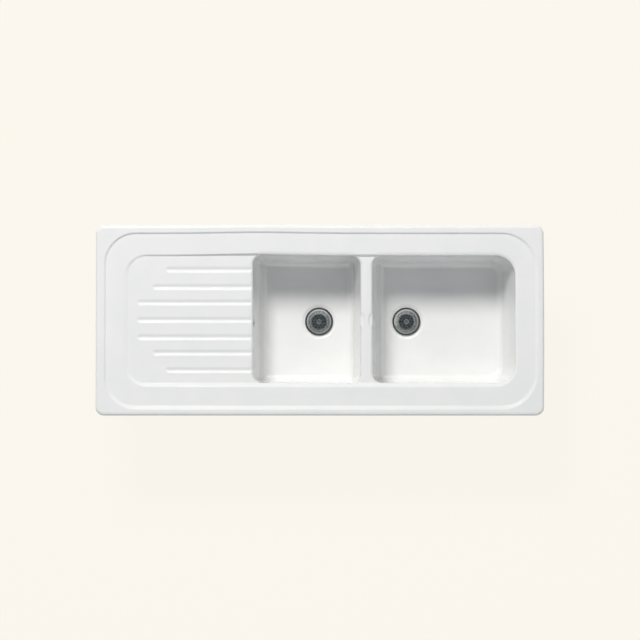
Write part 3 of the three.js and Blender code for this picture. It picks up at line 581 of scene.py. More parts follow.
def duct_channels(margin):
    """The overflow ducts' hollow when margin is 0, and their outside when it is a wall."""
    half = DUCT_WIDTH / 2 + margin
    gap = DUCT_GAP / 2 + margin
    bottom = FLOOR_UNDERSIDE - DUCT_GAP - margin
    left_duct = left_bowl[0] - WALL + DUCT_SET_IN - DUCT_GAP / 2
    under_deck = DECK_UNDERSIDE + margin
    under_floor = FLOOR_UNDERSIDE + margin
    runs = [
        (DIVIDER - gap, DIVIDER + gap, under_deck),
        (left_duct - gap, left_duct + gap, under_deck),
        (DRAINS["left"], DIVIDER + gap, under_floor),
        (DIVIDER - gap, DRAINS["right"], under_floor),
        (left_duct - gap, DRAINS["left"], under_floor),
    ]
    channels = []
    for x0, x1, top in runs:
        shape = plan(x0, x1, MIDDLE - half, MIDDLE + half, gap)
        levels = [(shape, bottom)]
        if margin:  # the lower edge is rounded in two facets
            levels = [
                (grown(shape, -DUCT_EDGE_ROUND * 0.6), bottom),
                (grown(shape, -DUCT_EDGE_ROUND * 0.2), bottom + DUCT_EDGE_ROUND * 0.35),
                (shape, bottom + DUCT_EDGE_ROUND),
            ]
        channels.append(hidden_loft("duct", levels + [(shape, top)], side_steps=1))
    return channels


def overflow_cutters():
    """A soft scoop on each side of the divider, the slot between them, and a round hole."""
    slot = plan(
        left_bowl[1] - THROUGH, right_bowl[0] + THROUGH,
        MIDDLE - SLOT_LENGTH / 2, MIDDLE + SLOT_LENGTH / 2, 2,
    )
    levels = [(slot, height) for height in SLOT_HEIGHTS]
    cutters = [hidden_loft("slot", levels, GLAZED, side_steps=1)]
    for x in (left_bowl[1] - SCOOP_SET_BACK, right_bowl[0] + SCOOP_SET_BACK):
        bm = bmesh.new()
        bmesh.ops.create_uvsphere(bm, u_segments=96, v_segments=64, radius=1)
        bmesh.ops.scale(bm, vec=SCOOP_HALF_SIZES, verts=bm.verts)
        bmesh.ops.translate(bm, vec=(x, MIDDLE, BOARD_NEAR + SCOOP_RISE), verts=bm.verts)
        cutters.append(solid("scoop", bm))
    y, z = MIDDLE + HOLE_OFFSET, BOARD_NEAR - HOLE_DROP
    ends = ((-185, y, z), (left_bowl[0] + THROUGH, y, z))  # from inside the duct into the bowl
    cutters.append(rod("round_hole", HOLE_RADIUS, ends, 48))
    return cutters


# ---- The casting ----
def soft_foot(shape, bottom, top, radius, inward=1):
    """Levels of a wall whose lower edge is rounded; inward is -1 for the inside of a ring."""
    levels = [
        (
            grown(shape, -inward * radius * (1 - math.sin(angle))),
            bottom + radius * (1 - math.cos(angle)),
        )
        for angle in quarter_steps(FOOT_RINGS)
    ]
    return levels + [(shape, top)]


def rim_plate():
    """The solid slab under the whole top, with the rim's rounded edge."""
    levels = [(grown(rim, -2), SEAT), (grown(rim, -0.6), SEAT + 0.6), (rim, SEAT + RIM_FOOT_ROUND)]
    for angle in quarter_steps(LIP_RINGS):
        levels.append((
            grown(rim, -RIM_EDGE_ROUND * (1 - math.cos(angle))),
            RIM_TOP - RIM_EDGE_ROUND * (1 - math.sin(angle)),
        ))
    return loft("fireclay_sink", levels)


def skirt():
    """The wall round the underside, and the deck inside it."""
    outside = soft_foot(underbody, SKIRT_UNDERSIDE, SEAT + 1, SKIRT_FOOT_ROUND)
    wall = hidden_loft("skirt", outside)
    inner = grown(underbody, -WALL)
    inside = [(grown(inner, SKIRT_FOOT_ROUND), SKIRT_UNDERSIDE - THROUGH)]
    inside += soft_foot(inner, SKIRT_UNDERSIDE, DECK_UNDERSIDE, SKIRT_FOOT_ROUND, inward=-1)
    return worked(wall, [hidden_loft("hollow", inside)], "DIFFERENCE")


def ribs():
    """Ribs across the underside of the drainboard, evenly spaced."""
    span = left_bowl[0] - WALL - underbody[0]
    made = []
    for i in range(1, RIB_COUNT + 1):
        x = underbody[0] + span * i / (RIB_COUNT + 1)
        half = RIB_WIDTH / 2
        rib = plan(x - half, x + half, underbody[2] + WALL / 2, underbody[3] - WALL / 2, 2)
        levels = soft_foot(rib, SKIRT_UNDERSIDE, DECK_UNDERSIDE + 1, RIB_FOOT_ROUND)
        made.append(hidden_loft("rib", levels, side_steps=1))
    return made


def bowl_shell(name, bowl, lean):
    """The outside of a bowl, with a soft hollow where it meets the deck above it."""
    levels = []
    below_fillet = FLOOR_FILLET + FLOOR - FLOOR_UNDERSIDE
    for angle in quarter_steps(FILLET_RINGS):
        outward = (FLOOR_FILLET + WALL) * math.sin(angle) - FLOOR_FILLET
        z = FLOOR + FLOOR_FILLET - below_fillet * math.cos(angle)
        levels.append((leaned(bowl, lean, outward), z))
    for angle in quarter_steps(FLARE_RINGS):
        flare = SHELL_FLARE * (1 - math.cos(angle))
        z = DECK_UNDERSIDE - SHELL_FLARE + SHELL_FLARE * math.sin(angle)
        levels.append((grown(bowl, WALL - SHELL_SET_IN + flare), z))
    levels.append((levels[-1][0], BOARD_NEAR - LIP_ROUND))
    return hidden_loft(name, levels)


def boss(x):
    """The thick ring of clay round a waste's hole."""
    profile = [
        (0, BOSS_UNDERSIDE), (BOSS_RADIUS - BOSS_BEVEL, BOSS_UNDERSIDE),
        (BOSS_RADIUS, BOSS_UNDERSIDE + BOSS_BEVEL), (BOSS_RADIUS, FLOOR), (0, FLOOR),
    ]
    return moved(turned("boss", profile, rounding=1.5, finish=BARE), x, MIDDLE)


def make_casting():
    """Joins the outsides into one solid, then cuts its top, its bowls and its water ways."""
    plate = rim_plate()
    outsides = [skirt()] + ribs()
    outsides.append(bowl_shell("left_shell", left_bowl, LEFT_LEAN))
    outsides.append(bowl_shell("right_shell", right_bowl, RIGHT_LEAN))
    outsides += [boss(x) for x in DRAINS.values()] + duct_channels(DUCT_WALL)
    casting = worked(plate, outsides, "UNION")
    sloped = step_cutter("sloped", pocket, POCKET_STEP_WIDTHS, board_height, LEDGE)
    level = step_cutter("level", pocket, POCKET_STEP_WIDTHS, lambda x: BOARD_NEAR, LEDGE)
    cutters = duct_channels(0)
    cutters.append(step_cutter("ledge", ledge, LEDGE_STEP_WIDTHS, lambda x: LEDGE, RIM_TOP))
    cutters.append(worked(sloped, [level], "INTERSECT"))
    cutters.append(bowl_cutter("left_bowl", left_bowl, LEFT_LEAN, low_right=True))
    cutters.append(bowl_cutter("right_bowl", right_bowl, RIGHT_LEAN, low_right=False))
    for row, start in GROOVES:  # in pairs, except the middle one
        cutters += [groove_cutter(MIDDLE + GROOVE_SHIFT + y, start) for y in {row, -row}]
    for x in DRAINS.values():
        cutters += drain_cutters(x)
    cutters += overflow_cutters()
    return worked(casting, cutters, "DIFFERENCE")


def make_rim_seal():
    outer = grown(rim, -SEAL_INSET)
    inner = grown(outer, -SEAL_WIDTH)
    seal = loft("rim_seal_strip", [
        (grown(outer, -SEAL_BEVEL), 0), (outer, SEAL_BEVEL),
        (outer, SEAL_TOP - SEAL_BEVEL), (grown(outer, -SEAL_BEVEL), SEAL_TOP),
    ], wander=None)
    inside = loft("inside", [(inner, -THROUGH), (inner, SEAT + THROUGH)], wander=None)
    return worked(seal, [inside], "DIFFERENCE")


# ---- Waste pieces ----
def make_flange_gasket():
    return flat_ring(
        "gasket", GASKET_BORE, FLANGE_GASKET_RADIUS, SEAT_GAP, FLANGE_GASKET_TOP, rounding=0.4,
    )


def make_strainer_cup():
    """Flange with a bright cone, wall, valve seat, and a slotted foot over a slotted grate."""
    cup = turned("cup", [
        (CUP_FOOT_BORE, CUP_UNDERSIDE), (CUP_FOOT_RADIUS, CUP_UNDERSIDE),
        (CUP_FOOT_RADIUS, CUP_FOOT_TOP), (CUP_RADIUS, CUP_SHOULDER), (CUP_RADIUS, -0.5),
        (30.9, FLANGE_FOOT), (36.9, FLANGE_FOOT), (FLANGE_RADIUS, 2.7), (FLANGE_RADIUS, 3.6),
        (37.1, FLANGE_TOP), (CONE_TOP_RADIUS, FLANGE_TOP), (CUP_BORE, CONE_FOOT),
        (CUP_BORE, -14.5), (19.5, VALVE_SEAT), (VALVE_HOLE_RADIUS, -16.6),
        (VALVE_HOLE_RADIUS, CUP_SHOULDER), (CUP_FOOT_BORE, CUP_FOOT_TOP),
    ], rounding=0.3)
    slots = [
        block("slot", CUP_SLOT_SIZE, CUP_SLOT_CENTRE, angle, rounding=1.5)
        for angle in ring_of(CUP_SLOTS)
    ]
    cup = worked(cup, slots, "DIFFERENCE")
    grate_radius = (CUP_FOOT_BORE + CUP_FOOT_RADIUS) / 2
    grate = flat_ring("grate", GRATE_BORE, grate_radius, CUP_UNDERSIDE, GRATE_TOP, rounding=0.4)
    gaps = [
        block("gap", GRATE_SLOT_SIZE, GRATE_SLOT_CENTRE, angle, rounding=1.2)
        for angle in ring_of(GRATE_SLOTS)
    ]
    return worked(cup, [worked(grate, gaps, "DIFFERENCE")], "UNION")


def make_basket():
    """Pressed and punched sheet: flat floor, dished side and a small turned-out rim."""
    pan = turned("pan", [
        (STEM_BORE, SHEET_UNDERSIDE), (20.5, SHEET_UNDERSIDE), (26.4, -7.2), (27.2, -2.4),
        (28.1, -1.6), (28.1, -0.5), (26.2, -1.4), (25.6, -6.5), (20, SHEET_TOP),
        (STEM_BORE, SHEET_TOP),
    ], rounding=0.4)
    holes = []
    for count, radius in FLOOR_HOLES:
        for angle in ring_of(count):
            x, y = radius * math.cos(angle), radius * math.sin(angle)
            holes.append(rod("hole", FLOOR_HOLE_RADIUS, ((x, y, -14), (x, y, -7)), 20))
    for angle in ring_of(SIDE_HOLES):  # drilled outwards and down through the side
        x, y = math.cos(angle), math.sin(angle)
        ends = ((20 * x, 20 * y, -3.7), (28 * x, 28 * y, -8.3))
        holes.append(rod("hole", SIDE_HOLE_RADIUS, ends, 16))
    return worked(pan, holes, "DIFFERENCE")


def make_basket_post():
    """Knob with a drilled top, collars and stem in one turned piece."""
    return turned("post", [
        (0, -26.7), (STEM_TIP_RADIUS, -26.7), (STEM_TIP_RADIUS, -17),
        (COLLAR_RADIUS, -17), (COLLAR_RADIUS, -16), (STEM_RADIUS, -16),
        (STEM_RADIUS, -9.5), (COLLAR_RADIUS, -9.5),
        (4, -7.8), (4.6, -4.8), (5.9, -2), (6.4, -0.8), (6.35, 0.7), (5.7, 1.5), (4.6, 1.85),
        (2.6, 2), (2, 1.7), (1.9, -3.2), (0, -3.4),
    ], rounding=0.25)


def make_basket_stopper():
    """Rubber disc whose edge comes to a blunt point."""
    return turned("stopper", [
        (STEM_BORE, STOPPER_FOOT), (STOPPER_RADIUS - 1, STOPPER_FOOT), (STOPPER_RADIUS, -14.6),
        (STOPPER_RADIUS - 1, STOPPER_TOP), (STEM_BORE, STOPPER_TOP),
    ], rounding=0.4)


def make_clamp_screw():
    """Socket screw: its hollow head guides the tip of the basket's stem."""
    profile = [(0, SCREW_END)]
    for turn in range(SCREW_TURNS):  # a ring for each turn
        z = SCREW_END + 1 + turn
        profile += [
            (SCREW_CORE, z), (SCREW_RADIUS, z + 0.35), (SCREW_RADIUS, z + 0.55),
            (SCREW_CORE, z + 0.9),
        ]
    profile += [
        (SCREW_RADIUS, SCREW_HEAD_FOOT), (SCREW_HEAD_RADIUS, SCREW_HEAD_FOOT),
        (SCREW_HEAD_RADIUS, SCREW_HEAD_TOP - SCREW_HEAD_BEVEL),
        (SCREW_HEAD_RADIUS - SCREW_HEAD_BEVEL, SCREW_HEAD_TOP),
        (SOCKET_RADIUS, SCREW_HEAD_TOP), (SOCKET_RADIUS, SOCKET_FLOOR), (0, SOCKET_FLOOR),
    ]
    return turned("screw", profile, rounding=0.1, sides=SMALL_SIDES)


def make_lower_gasket():
    return flat_ring(
        "lower_ring", GASKET_BORE, LOWER_GASKET_RADIUS, LOWER_GASKET_FOOT, LOWER_GASKET_TOP,
        rounding=0.7,
    )


def make_lower_body():
    """Moulded funnel with a clamping flange, webs that hold the screw's hub, and a spigot."""
    funnel = turned("funnel", [
        (SPIGOT_BORE, SPIGOT_FOOT), (SPIGOT_RADIUS, SPIGOT_FOOT), (SPIGOT_RADIUS, FUNNEL_FOOT),
        (FUNNEL_RADIUS, THROAT), (FUNNEL_RADIUS, BODY_FLANGE_FOOT),
        (BODY_FLANGE_RADIUS, BODY_FLANGE_FOOT), (BODY_FLANGE_RADIUS, BODY_TOP),
        (FUNNEL_BORE, BODY_TOP), (FUNNEL_BORE, THROAT), (SPIGOT_BORE, FUNNEL_FOOT),
    ], rounding=0.8)
    inside = turned("inside", [
        (0, FUNNEL_FOOT), (SPIGOT_RADIUS, FUNNEL_FOOT), (FUNNEL_RADIUS, THROAT),
        (FUNNEL_RADIUS, BODY_TOP), (0, BODY_TOP),
    ])
    webs = block("web", WEB_SIZE, WEB_CENTRE)
    webs = worked(webs, [block("web", WEB_SIZE, WEB_CENTRE, QUARTER)], "UNION")
    webs = worked(webs, [inside], "INTERSECT")
    hub_profile = [(0, HUB_FOOT), (HUB_RADIUS, HUB_FOOT), (HUB_RADIUS, HUB_TOP), (0, HUB_TOP)]
    hub = turned("hub", hub_profile, rounding=0.5)
    gussets = [
        block("gusset", GUSSET_SIZE, GUSSET_CENTRE, angle, rounding=0.5)
        for angle in ring_of(GUSSETS)
    ]
    threads = []
    for turn in range(THREAD_TURNS):  # a ring for each turn
        z = THREAD_FOOT + THREAD_PITCH * turn
        inner, outer = SPIGOT_RADIUS - 0.5, SPIGOT_RADIUS + 0.2
        profile = [(inner, z), (outer, z + 0.8), (outer, z + 1.2), (inner, z + 2)]
        threads.append(turned("thread", profile))
    funnel = worked(funnel, [webs, hub] + gussets + threads, "UNION")
    ends = ((0, 0, HUB_FLOOR), (0, 0, HUB_TOP + THROUGH))
    screw_hole = rod("screw_hole", SCREW_HOLE_RADIUS, ends, SMALL_SIDES)
    return worked(funnel, [screw_hole], "DIFFERENCE")


def make_outlet_washer():
    return flat_ring("washer", PIPE_BORE, SPIGOT_RADIUS, WASHER_FOOT, WASHER_TOP, rounding=0.4)


def make_tailpiece():
    """Plain pipe with a flange that the nut pulls up."""
    return turned("tail", [
        (PIPE_BORE, PIPE_END), (PIPE_RADIUS, PIPE_END), (PIPE_RADIUS, PIPE_FLANGE_FOOT),
        (SPIGOT_RADIUS, PIPE_FLANGE_FOOT), (SPIGOT_RADIUS, PIPE_FLANGE_TOP),
        (PIPE_BORE, PIPE_FLANGE_TOP),
    ], rounding=0.5)


def make_union_nut():
    """Hand nut: eight lugs, and fine ribs between them for grip."""
    nut = turned("nut", [
        (NUT_LIP_BORE, NUT_FOOT), (NUT_RADIUS - NUT_BEVEL, NUT_FOOT),
        (NUT_RADIUS, NUT_FOOT + NUT_BEVEL), (NUT_RADIUS, NUT_TOP), (NUT_BORE, NUT_TOP),
        (NUT_BORE, NUT_LIP_TOP), (NUT_LIP_BORE, NUT_LIP_TOP),
    ], rounding=0.6)
    lug_profile = [
        (0, NUT_LIP_TOP), (NUT_LUG_RADIUS, NUT_LIP_TOP), (NUT_LUG_RADIUS, NUT_TOP), (0, NUT_TOP),
    ]
    lugs = []
    for angle in ring_of(NUT_LUGS):
        lug = turned("lug", lug_profile, rounding=0.8, sides=24)
        moved(lug, NUT_RADIUS - NUT_LUG_SET_IN, 0)
        lug.data.transform(Matrix.Rotation(angle, 4, "Z"))
        lugs.append(lug)
        for offset in NUT_GRIP_TURNS:
            x, y = NUT_RADIUS * math.cos(angle + offset), NUT_RADIUS * math.sin(angle + offset)
            ends = [(x, y, z) for z in NUT_GRIP_ENDS]
            lugs.append(rod("grip", NUT_GRIP_RADIUS, ends, 12))
    nut = worked(nut, lugs, "UNION")
    bore = turned("bore", [
        (0, NUT_FOOT - 1), (NUT_LIP_BORE, NUT_FOOT - 1), (NUT_LIP_BORE, NUT_LIP_TOP),
        (NUT_BORE, NUT_LIP_TOP), (NUT_BORE, NUT_TOP + 1), (0, NUT_TOP + 1),
    ])
    return worked(nut, [bore], "DIFFERENCE")


# ---- Materials ----
def srgb(code):
    """An sRGB hex colour as linear values, with alpha 1."""
    values = [int(code[i:i + 2], 16) / 255 for i in (1, 3, 5)]
    return [v / 12.92 if v <= 0.04045 else ((v + 0.055) / 1.055) ** 2.4 for v in values] + [1]


def node(tree, kind, settings=(), links=()):
    """Adds a node, sets its properties and inputs, and links other nodes' outputs to it."""
    made = tree.nodes.new(kind)
    for key, value in dict(settings).items():
        if isinstance(key, str) and hasattr(made, key):
            setattr(made, key, value)
        else:
            made.inputs[key].default_value = value
    for key, source in dict(links).items():
        tree.links.new(source, made.inputs[key])
    return made


def new_material(name):
    """A material with its node tree, its shader and the object's own coordinates."""
    material = bpy.data.materials.new(name)
    material.use_nodes = True
    tree = material.node_tree
    shader = tree.nodes["Principled BSDF"]
    place = node(tree, "ShaderNodeTexCoord").outputs["Object"]
    return material, tree, shader, place


def noise(tree, place, size_mm, detail=2.0, roughness=0.5):
    """Soft random pattern whose features measure about size_mm."""
    return node(
        tree, "ShaderNodeTexNoise",
        {"Scale": 1 / (size_mm * MM), "Detail": detail, "Roughness": roughness},
        {"Vector": place},
    ).outputs["Fac"]


def spread(tree, source, low, high, from_low=0.3, from_high=0.7):
    """Maps a pattern onto the range low to high."""
    return node(
        tree, "ShaderNodeMapRange",
        {"From Min": from_low, "From Max": from_high, "To Min": low, "To Max": high},
        {"Value": source},
    ).outputs["Result"]


def tinted(tree, source, first, second):
    """Blends two colours by a pattern."""
    return node(
        tree, "ShaderNodeMix", {"data_type": "RGBA", 6: srgb(first), 7: srgb(second)}, {0: source},
    ).outputs[2]


def bumped(tree, height, depth_mm, under=None):
    """A bump of a depth, on top of another one or on the plain surface."""
    links = {"Height": height}
    if under:
        links["Normal"] = under
    return node(
        tree, "ShaderNodeBump", {"Distance": depth_mm * MM, "Strength": 1.0}, links,
    ).outputs["Normal"]


def glazed_fireclay():
    """White opaque glaze, sprayed and fired: glassy, and never quite flat.

    Slow waves a hand wide bend the highlights, a fine orange peel dulls their edges, and the
    white is a touch warmer where the glaze is thin.
    """
    material, tree, shader, place = new_material("glazed_fireclay")
    thickness = noise(tree, place, 70, 3)
    tone = tinted(tree, spread(tree, thickness, 0, 1), "#f0f0ef", "#ecedec")
    tree.links.new(tone, shader.inputs["Base Color"])
    gloss = spread(tree, noise(tree, place, 25, 4), 0.07, 0.13)
    tree.links.new(gloss, shader.inputs["Roughness"])
    shader.inputs["IOR"].default_value = 1.52
    waves = bumped(tree, noise(tree, place, 110, 1), 0.5)
    peel = bumped(tree, noise(tree, place, 3.5, 1), 0.008, waves)
    tree.links.new(peel, shader.inputs["Normal"])
    return material


def bare_fireclay():
    """Fired clay without glaze, sponged smooth by hand: warm, chalky and faintly gritty."""
    material, tree, shader, place = new_material("bare_fireclay")
    patches = spread(tree, noise(tree, place, 60, 4, 0.6), 0, 1)
    clay = tinted(tree, patches, "#e2d8c6", "#d7cab5")
    grog = node(
        tree, "ShaderNodeTexVoronoi", {"Scale": 1 / (2.2 * MM)}, {"Vector": place},
    ).outputs["Distance"]
    specks = spread(tree, grog, 1, 0, 0.08, 0.16)
    speckled = node(
        tree, "ShaderNodeMix", {"data_type": "RGBA", 7: srgb("#b3a58d")}, {0: specks, 6: clay},
    ).outputs[2]
    tree.links.new(speckled, shader.inputs["Base Color"])
    shader.inputs["Roughness"].default_value = 0.82
    sponge = bumped(tree, noise(tree, place, 14, 3), 0.35)
    grain = bumped(tree, noise(tree, place, 0.9, 2), 0.12, sponge)
    tree.links.new(grain, shader.inputs["Normal"])
    return material


def lathe_rings(tree, place, x, pitch_mm, depth_mm):
    """Fine rings round a drain's axis."""
    centred = node(
        tree, "ShaderNodeMapping", {"Location": (-x * MM, -MIDDLE * MM, 0)}, {"Vector": place},
    ).outputs["Vector"]
    scale = 0.3 / (pitch_mm * MM)
    rings = node(
        tree, "ShaderNodeTexWave",
        {"wave_type": "RINGS", "rings_direction": "Z", "Scale": scale, "Distortion": 0.6},
        {"Vector": centred},
    ).outputs["Fac"]
    return bumped(tree, rings, depth_mm)


def chrome_plated_brass(x):
    """Turned and polished brass under chrome: mirror-bright, with faint lathe rings."""
    material, tree, shader, place = new_material("chrome_plated_brass")
    shader.inputs["Metallic"].default_value = 1.0
    shader.inputs["Base Color"].default_value = srgb("#c4c6c6")
    wiped = spread(tree, noise(tree, place, 6, 4, 0.6), 0.08, 0.14)
    tree.links.new(wiped, shader.inputs["Roughness"])
    tree.links.new(lathe_rings(tree, place, x, 0.6, 0.003), shader.inputs["Normal"])
    return material


def stainless_steel(x):
    """Pressed stainless sheet: brushed in rings, satin, cooler and duller than the chrome."""
    material, tree, shader, place = new_material("stainless_steel")
    shader.inputs["Metallic"].default_value = 1.0
    marks = spread(tree, noise(tree, place, 4, 4, 0.6), 0, 1)
    tree.links.new(tinted(tree, marks, "#c0c6c8", "#b2b8ba"), shader.inputs["Base Color"])
    satin = spread(tree, noise(tree, place, 1.6, 3), 0.16, 0.26)
    tree.links.new(satin, shader.inputs["Roughness"])
    tree.links.new(lathe_rings(tree, place, x, 0.5, 0.006), shader.inputs["Normal"])
    return material


def black_rubber():
    """Moulded rubber with a bloom of pale dust in its pores."""
    material, tree, shader, place = new_material("black_rubber")
    bloom = spread(tree, noise(tree, place, 5, 4, 0.7), 0, 1)
    tree.links.new(tinted(tree, bloom, "#1d1d1e", "#2a2a2b"), shader.inputs["Base Color"])
    shader.inputs["Roughness"].default_value = 0.72
    tree.links.new(bumped(tree, noise(tree, place, 0.8, 2), 0.04), shader.inputs["Normal"])
    return material


def white_polypropylene():
    """Injection-moulded polypropylene: waxy white with a fine spark-eroded grain."""
    material, tree, shader, place = new_material("white_polypropylene")
    flow = spread(tree, noise(tree, place, 30, 3), 0, 1)
    tree.links.new(tinted(tree, flow, "#e9e9e5", "#e2e2dd"), shader.inputs["Base Color"])
    sheen = spread(tree, noise(tree, place, 9, 3), 0.36, 0.5)
    tree.links.new(sheen, shader.inputs["Roughness"])
    shader.inputs["IOR"].default_value = 1.49
    tree.links.new(bumped(tree, noise(tree, place, 0.7, 1), 0.02), shader.inputs["Normal"])
    return material


# ---- Pieces ----
CREASE = math.radians(32)  # edges sharper than this stay crisp


def show(piece, name, finishes, body, nodes):
    """Names a finished shape, shades it, and sets it on its body in place of the plain solids."""
    piece.name = name
    mesh = piece.data
    mesh.name = name
    mesh.transform(Matrix.Scale(MM, 4))
    for index, finish in enumerate(finishes):
        mesh.materials[index] = finish
    while len(mesh.materials) > len(finishes):
        mesh.materials.pop(index=len(finishes))
    mesh.shade_smooth()
    mesh.set_sharp_from_angle(angle=CREASE)
    even = piece.modifiers.new("even_shading", "WEIGHTED_NORMAL")
    even.mode = "FACE_AREA"
    even.keep_sharp = True
    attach(piece, body)
    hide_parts(*nodes)


casting = make_casting()
for polygon in casting.data.polygons:  # the rim's underside was part of the glazed plate
    if polygon.normal.z < -0.9 and abs(polygon.center.z - SEAT) < 0.5:
        polygon.material_index = BARE
show(
    casting, "fireclay_sink", [glazed_fireclay(), bare_fireclay()], "sink",
    ["drainboard", "bowl_surround", "left_bowl", "right_bowl"],
)
rubber = black_rubber()
plastic = white_polypropylene()
show(make_rim_seal(), "rim_seal_strip", [rubber], "sink", ["rim_seal"])

WASTE = {  # what makes each piece, its finish, and the body that carries it
    "flange_gasket": (make_flange_gasket, "black_rubber", "sink"),
    "strainer_cup": (make_strainer_cup, "chrome_plated_brass", "sink"),
    "basket": (make_basket, "stainless_steel", "{side}_basket_unit"),
    "basket_post": (make_basket_post, "stainless_steel", "{side}_basket_unit"),
    "basket_stopper": (make_basket_stopper, "black_rubber", "{side}_basket_unit"),
    "clamp_screw": (make_clamp_screw, "stainless_steel", "sink"),
    "lower_gasket": (make_lower_gasket, "black_rubber", "sink"),
    "lower_body": (make_lower_body, "white_polypropylene", "sink"),
    "outlet_washer": (make_outlet_washer, "black_rubber", "sink"),
    "tailpiece": (make_tailpiece, "white_polypropylene", "sink"),
    "union_nut": (make_union_nut, "white_polypropylene", "sink"),
}
for side, x in DRAINS.items():
    finishes = {
        "black_rubber": rubber,
        "white_polypropylene": plastic,
        "chrome_plated_brass": chrome_plated_brass(x),
        "stainless_steel": stainless_steel(x),
    }
    for name, (make, slot, body_name) in WASTE.items():
        piece = moved(make(), x, MIDDLE, DRAIN_SEAT)
        carrier = body_name.format(side=side)
        show(piece, f"{side}_{name}_fine", [finishes[slot]], carrier, [f"{side}_{name}"])

# ---- Floor, light and camera, in metres ----
CREAM = "#fbf7ee"  # the photograph's paper
FLOOR_GAP = 0.0005  # under the lowest piece
FLOOR_GLOW = 0.96  # how much of the paper's colour doesn't depend on the light
SKY_STRENGTH = 0.222
CAMERA_PLACE = (0, -0.22, 6.9)
VIEW_WIDTH = 1.654  # what the picture spans at the rim
RIM_DISTANCE = 6.89


def seen_directly(tree):
    """1 for rays that come straight from the camera or by a mirror or glass, and 0 for others."""
    path = node(tree, "ShaderNodeLightPath").outputs
    first = node(
        tree, "ShaderNodeMath", {"operation": "MAXIMUM"},
        {0: path["Is Camera Ray"], 1: path["Is Glossy Ray"]},
    ).outputs[0]
    return node(
        tree, "ShaderNodeMath", {"operation": "MAXIMUM"},
        {0: first, 1: path["Is Transmission Ray"]},
    ).outputs[0]


def mixed(tree, share, first, second):
    """Two shaders mixed: all first where share is 0, all second where it is 1."""
    links = {0: share, 1: first, 2: second}
    return node(tree, "ShaderNodeMixShader", (), links).outputs[0]


def make_floor():
    """Cream paper that keeps the sink's shadow and can be looked through from below."""
    bm = bmesh.new()
    bmesh.ops.create_grid(bm, x_segments=1, y_segments=1, size=8)
    bmesh.ops.translate(bm, vec=(0, 0, cad_box[0][2] - FLOOR_GAP), verts=bm.verts)
    floor = solid("studio_floor", bm)
    if floor.data.polygons[0].normal.z < 0:
        floor.data.flip_normals()
    material = bpy.data.materials.new("cream_paper")
    material.use_nodes = True
    tree = material.node_tree
    out = tree.nodes["Material Output"]
    tree.nodes.remove(tree.nodes["Principled BSDF"])
    paper = node(tree, "ShaderNodeBsdfDiffuse", {"Color": srgb(CREAM)}).outputs[0]
    glow = node(tree, "ShaderNodeEmission", {"Color": srgb(CREAM)}).outputs[0]
    share = node(
        tree, "ShaderNodeMath", {"operation": "MULTIPLY", 1: FLOOR_GLOW}, {0: seen_directly(tree)},
    ).outputs[0]
    front = mixed(tree, share, paper, glow)
    back = node(tree, "ShaderNodeBsdfTransparent").outputs[0]
    side = node(tree, "ShaderNodeNewGeometry").outputs["Backfacing"]
    tree.links.new(mixed(tree, side, front, back), out.inputs["Surface"])
    floor.data.materials[0] = material


def make_world():
    """A weak cool sky that lights the sink, shown as cream paper where it is seen directly."""
    world = bpy.data.worlds.new("studio")
    bpy.context.scene.world = world
    world.use_nodes = True
    tree = world.node_tree
    out = tree.nodes["World Output"]
    tree.nodes.remove(tree.nodes["Background"])
    settings = {"Color": srgb("#edf3ff"), "Strength": SKY_STRENGTH}
    fill = node(tree, "ShaderNodeBackground", settings).outputs[0]
    settings = {"Color": srgb(CREAM), "Strength": 1.0}
    shown = node(tree, "ShaderNodeBackground", settings).outputs[0]
    tree.links.new(mixed(tree, seen_directly(tree), fill, shown), out.inputs["Surface"])


def aimed(thing, place):
    """Sets a lamp or a camera above the sink and tips it towards the middle of the rim."""
    x, y, z = place
    thing.location = place
    thing.rotation_euler = (math.atan2(-y, z), math.atan2(x, z), 0)
    bpy.context.scene.collection.objects.link(thing)
    return thing


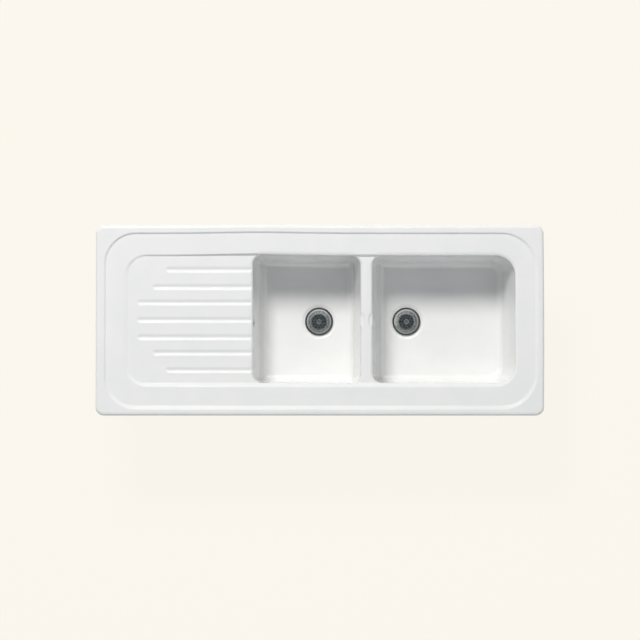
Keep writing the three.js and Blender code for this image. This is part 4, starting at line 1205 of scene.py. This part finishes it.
def softbox(name, place, width, depth, watts, color, shape="RECTANGLE"):
    lamp = bpy.data.lights.new(name, "AREA")
    lamp.shape = shape
    lamp.size = width
    lamp.size_y = depth
    lamp.energy = watts
    lamp.color = color
    return aimed(bpy.data.objects.new(name, lamp), place)


def make_lights():
    """A key lamp at the back left with its sheen, and weak walls of light in front and right.

    The key lamp would show as hard white glints in the drains, so no mirror sees it. The sheen is
    wider and weaker, stands in its place, and is mirrored by the glaze alone.
    """
    key = softbox("key_softbox", (-1.25, 3.5, 5.0), 1.8, 1.8, 329, (1, 0.984, 0.958), "ELLIPSE")
    key.visible_glossy = False
    sheen = softbox("key_sheen", (-0.9, 3.5, 5.0), 3.2, 1.8, 100, (1, 0.99, 0.975), "ELLIPSE")
    sheen.visible_diffuse = False
    sheen.visible_transmission = False
    glazed = bpy.data.collections.new("glazed")
    glazed.objects.link(casting)
    sheen.light_linking.receiver_collection = glazed
    softbox("front_fill", (0.3, -5.0, 3.0), 5, 2, 57, (0.97, 0.98, 1))
    softbox("right_fill", (5.0, 0.0, 3.0), 2, 4, 24, (1, 1, 1))


def make_overhead_card():
    """A grey card over the sink, as the camera's own rig is: only mirrors see it."""
    bm = bmesh.new()
    bmesh.ops.create_circle(bm, cap_ends=True, segments=48, radius=2.0)
    bmesh.ops.translate(bm, vec=(0, 0.1, 3.0), verts=bm.verts)
    card = solid("overhead_card", bm)
    material = bpy.data.materials.new("grey_card")
    material.use_nodes = True
    shader = material.node_tree.nodes["Principled BSDF"]
    shader.inputs["Base Color"].default_value = srgb("#6c7276")
    shader.inputs["Roughness"].default_value = 1.0
    card.data.materials[0] = material
    card.visible_camera = False
    card.visible_diffuse = False
    card.visible_shadow = False
    card.visible_transmission = False


def make_camera():
    """Almost straight down from seven metres, a little to the front of the sink's middle."""
    camera = bpy.data.cameras.new("camera")
    camera.sensor_width = 36
    camera.lens = camera.sensor_width * RIM_DISTANCE / VIEW_WIDTH
    camera.clip_end = 100
    bpy.context.scene.camera = aimed(bpy.data.objects.new("camera", camera), CAMERA_PLACE)


make_floor()
make_world()
make_lights()
make_overhead_card()
make_camera()
bpy.context.scene.view_settings.view_transform = "Standard"
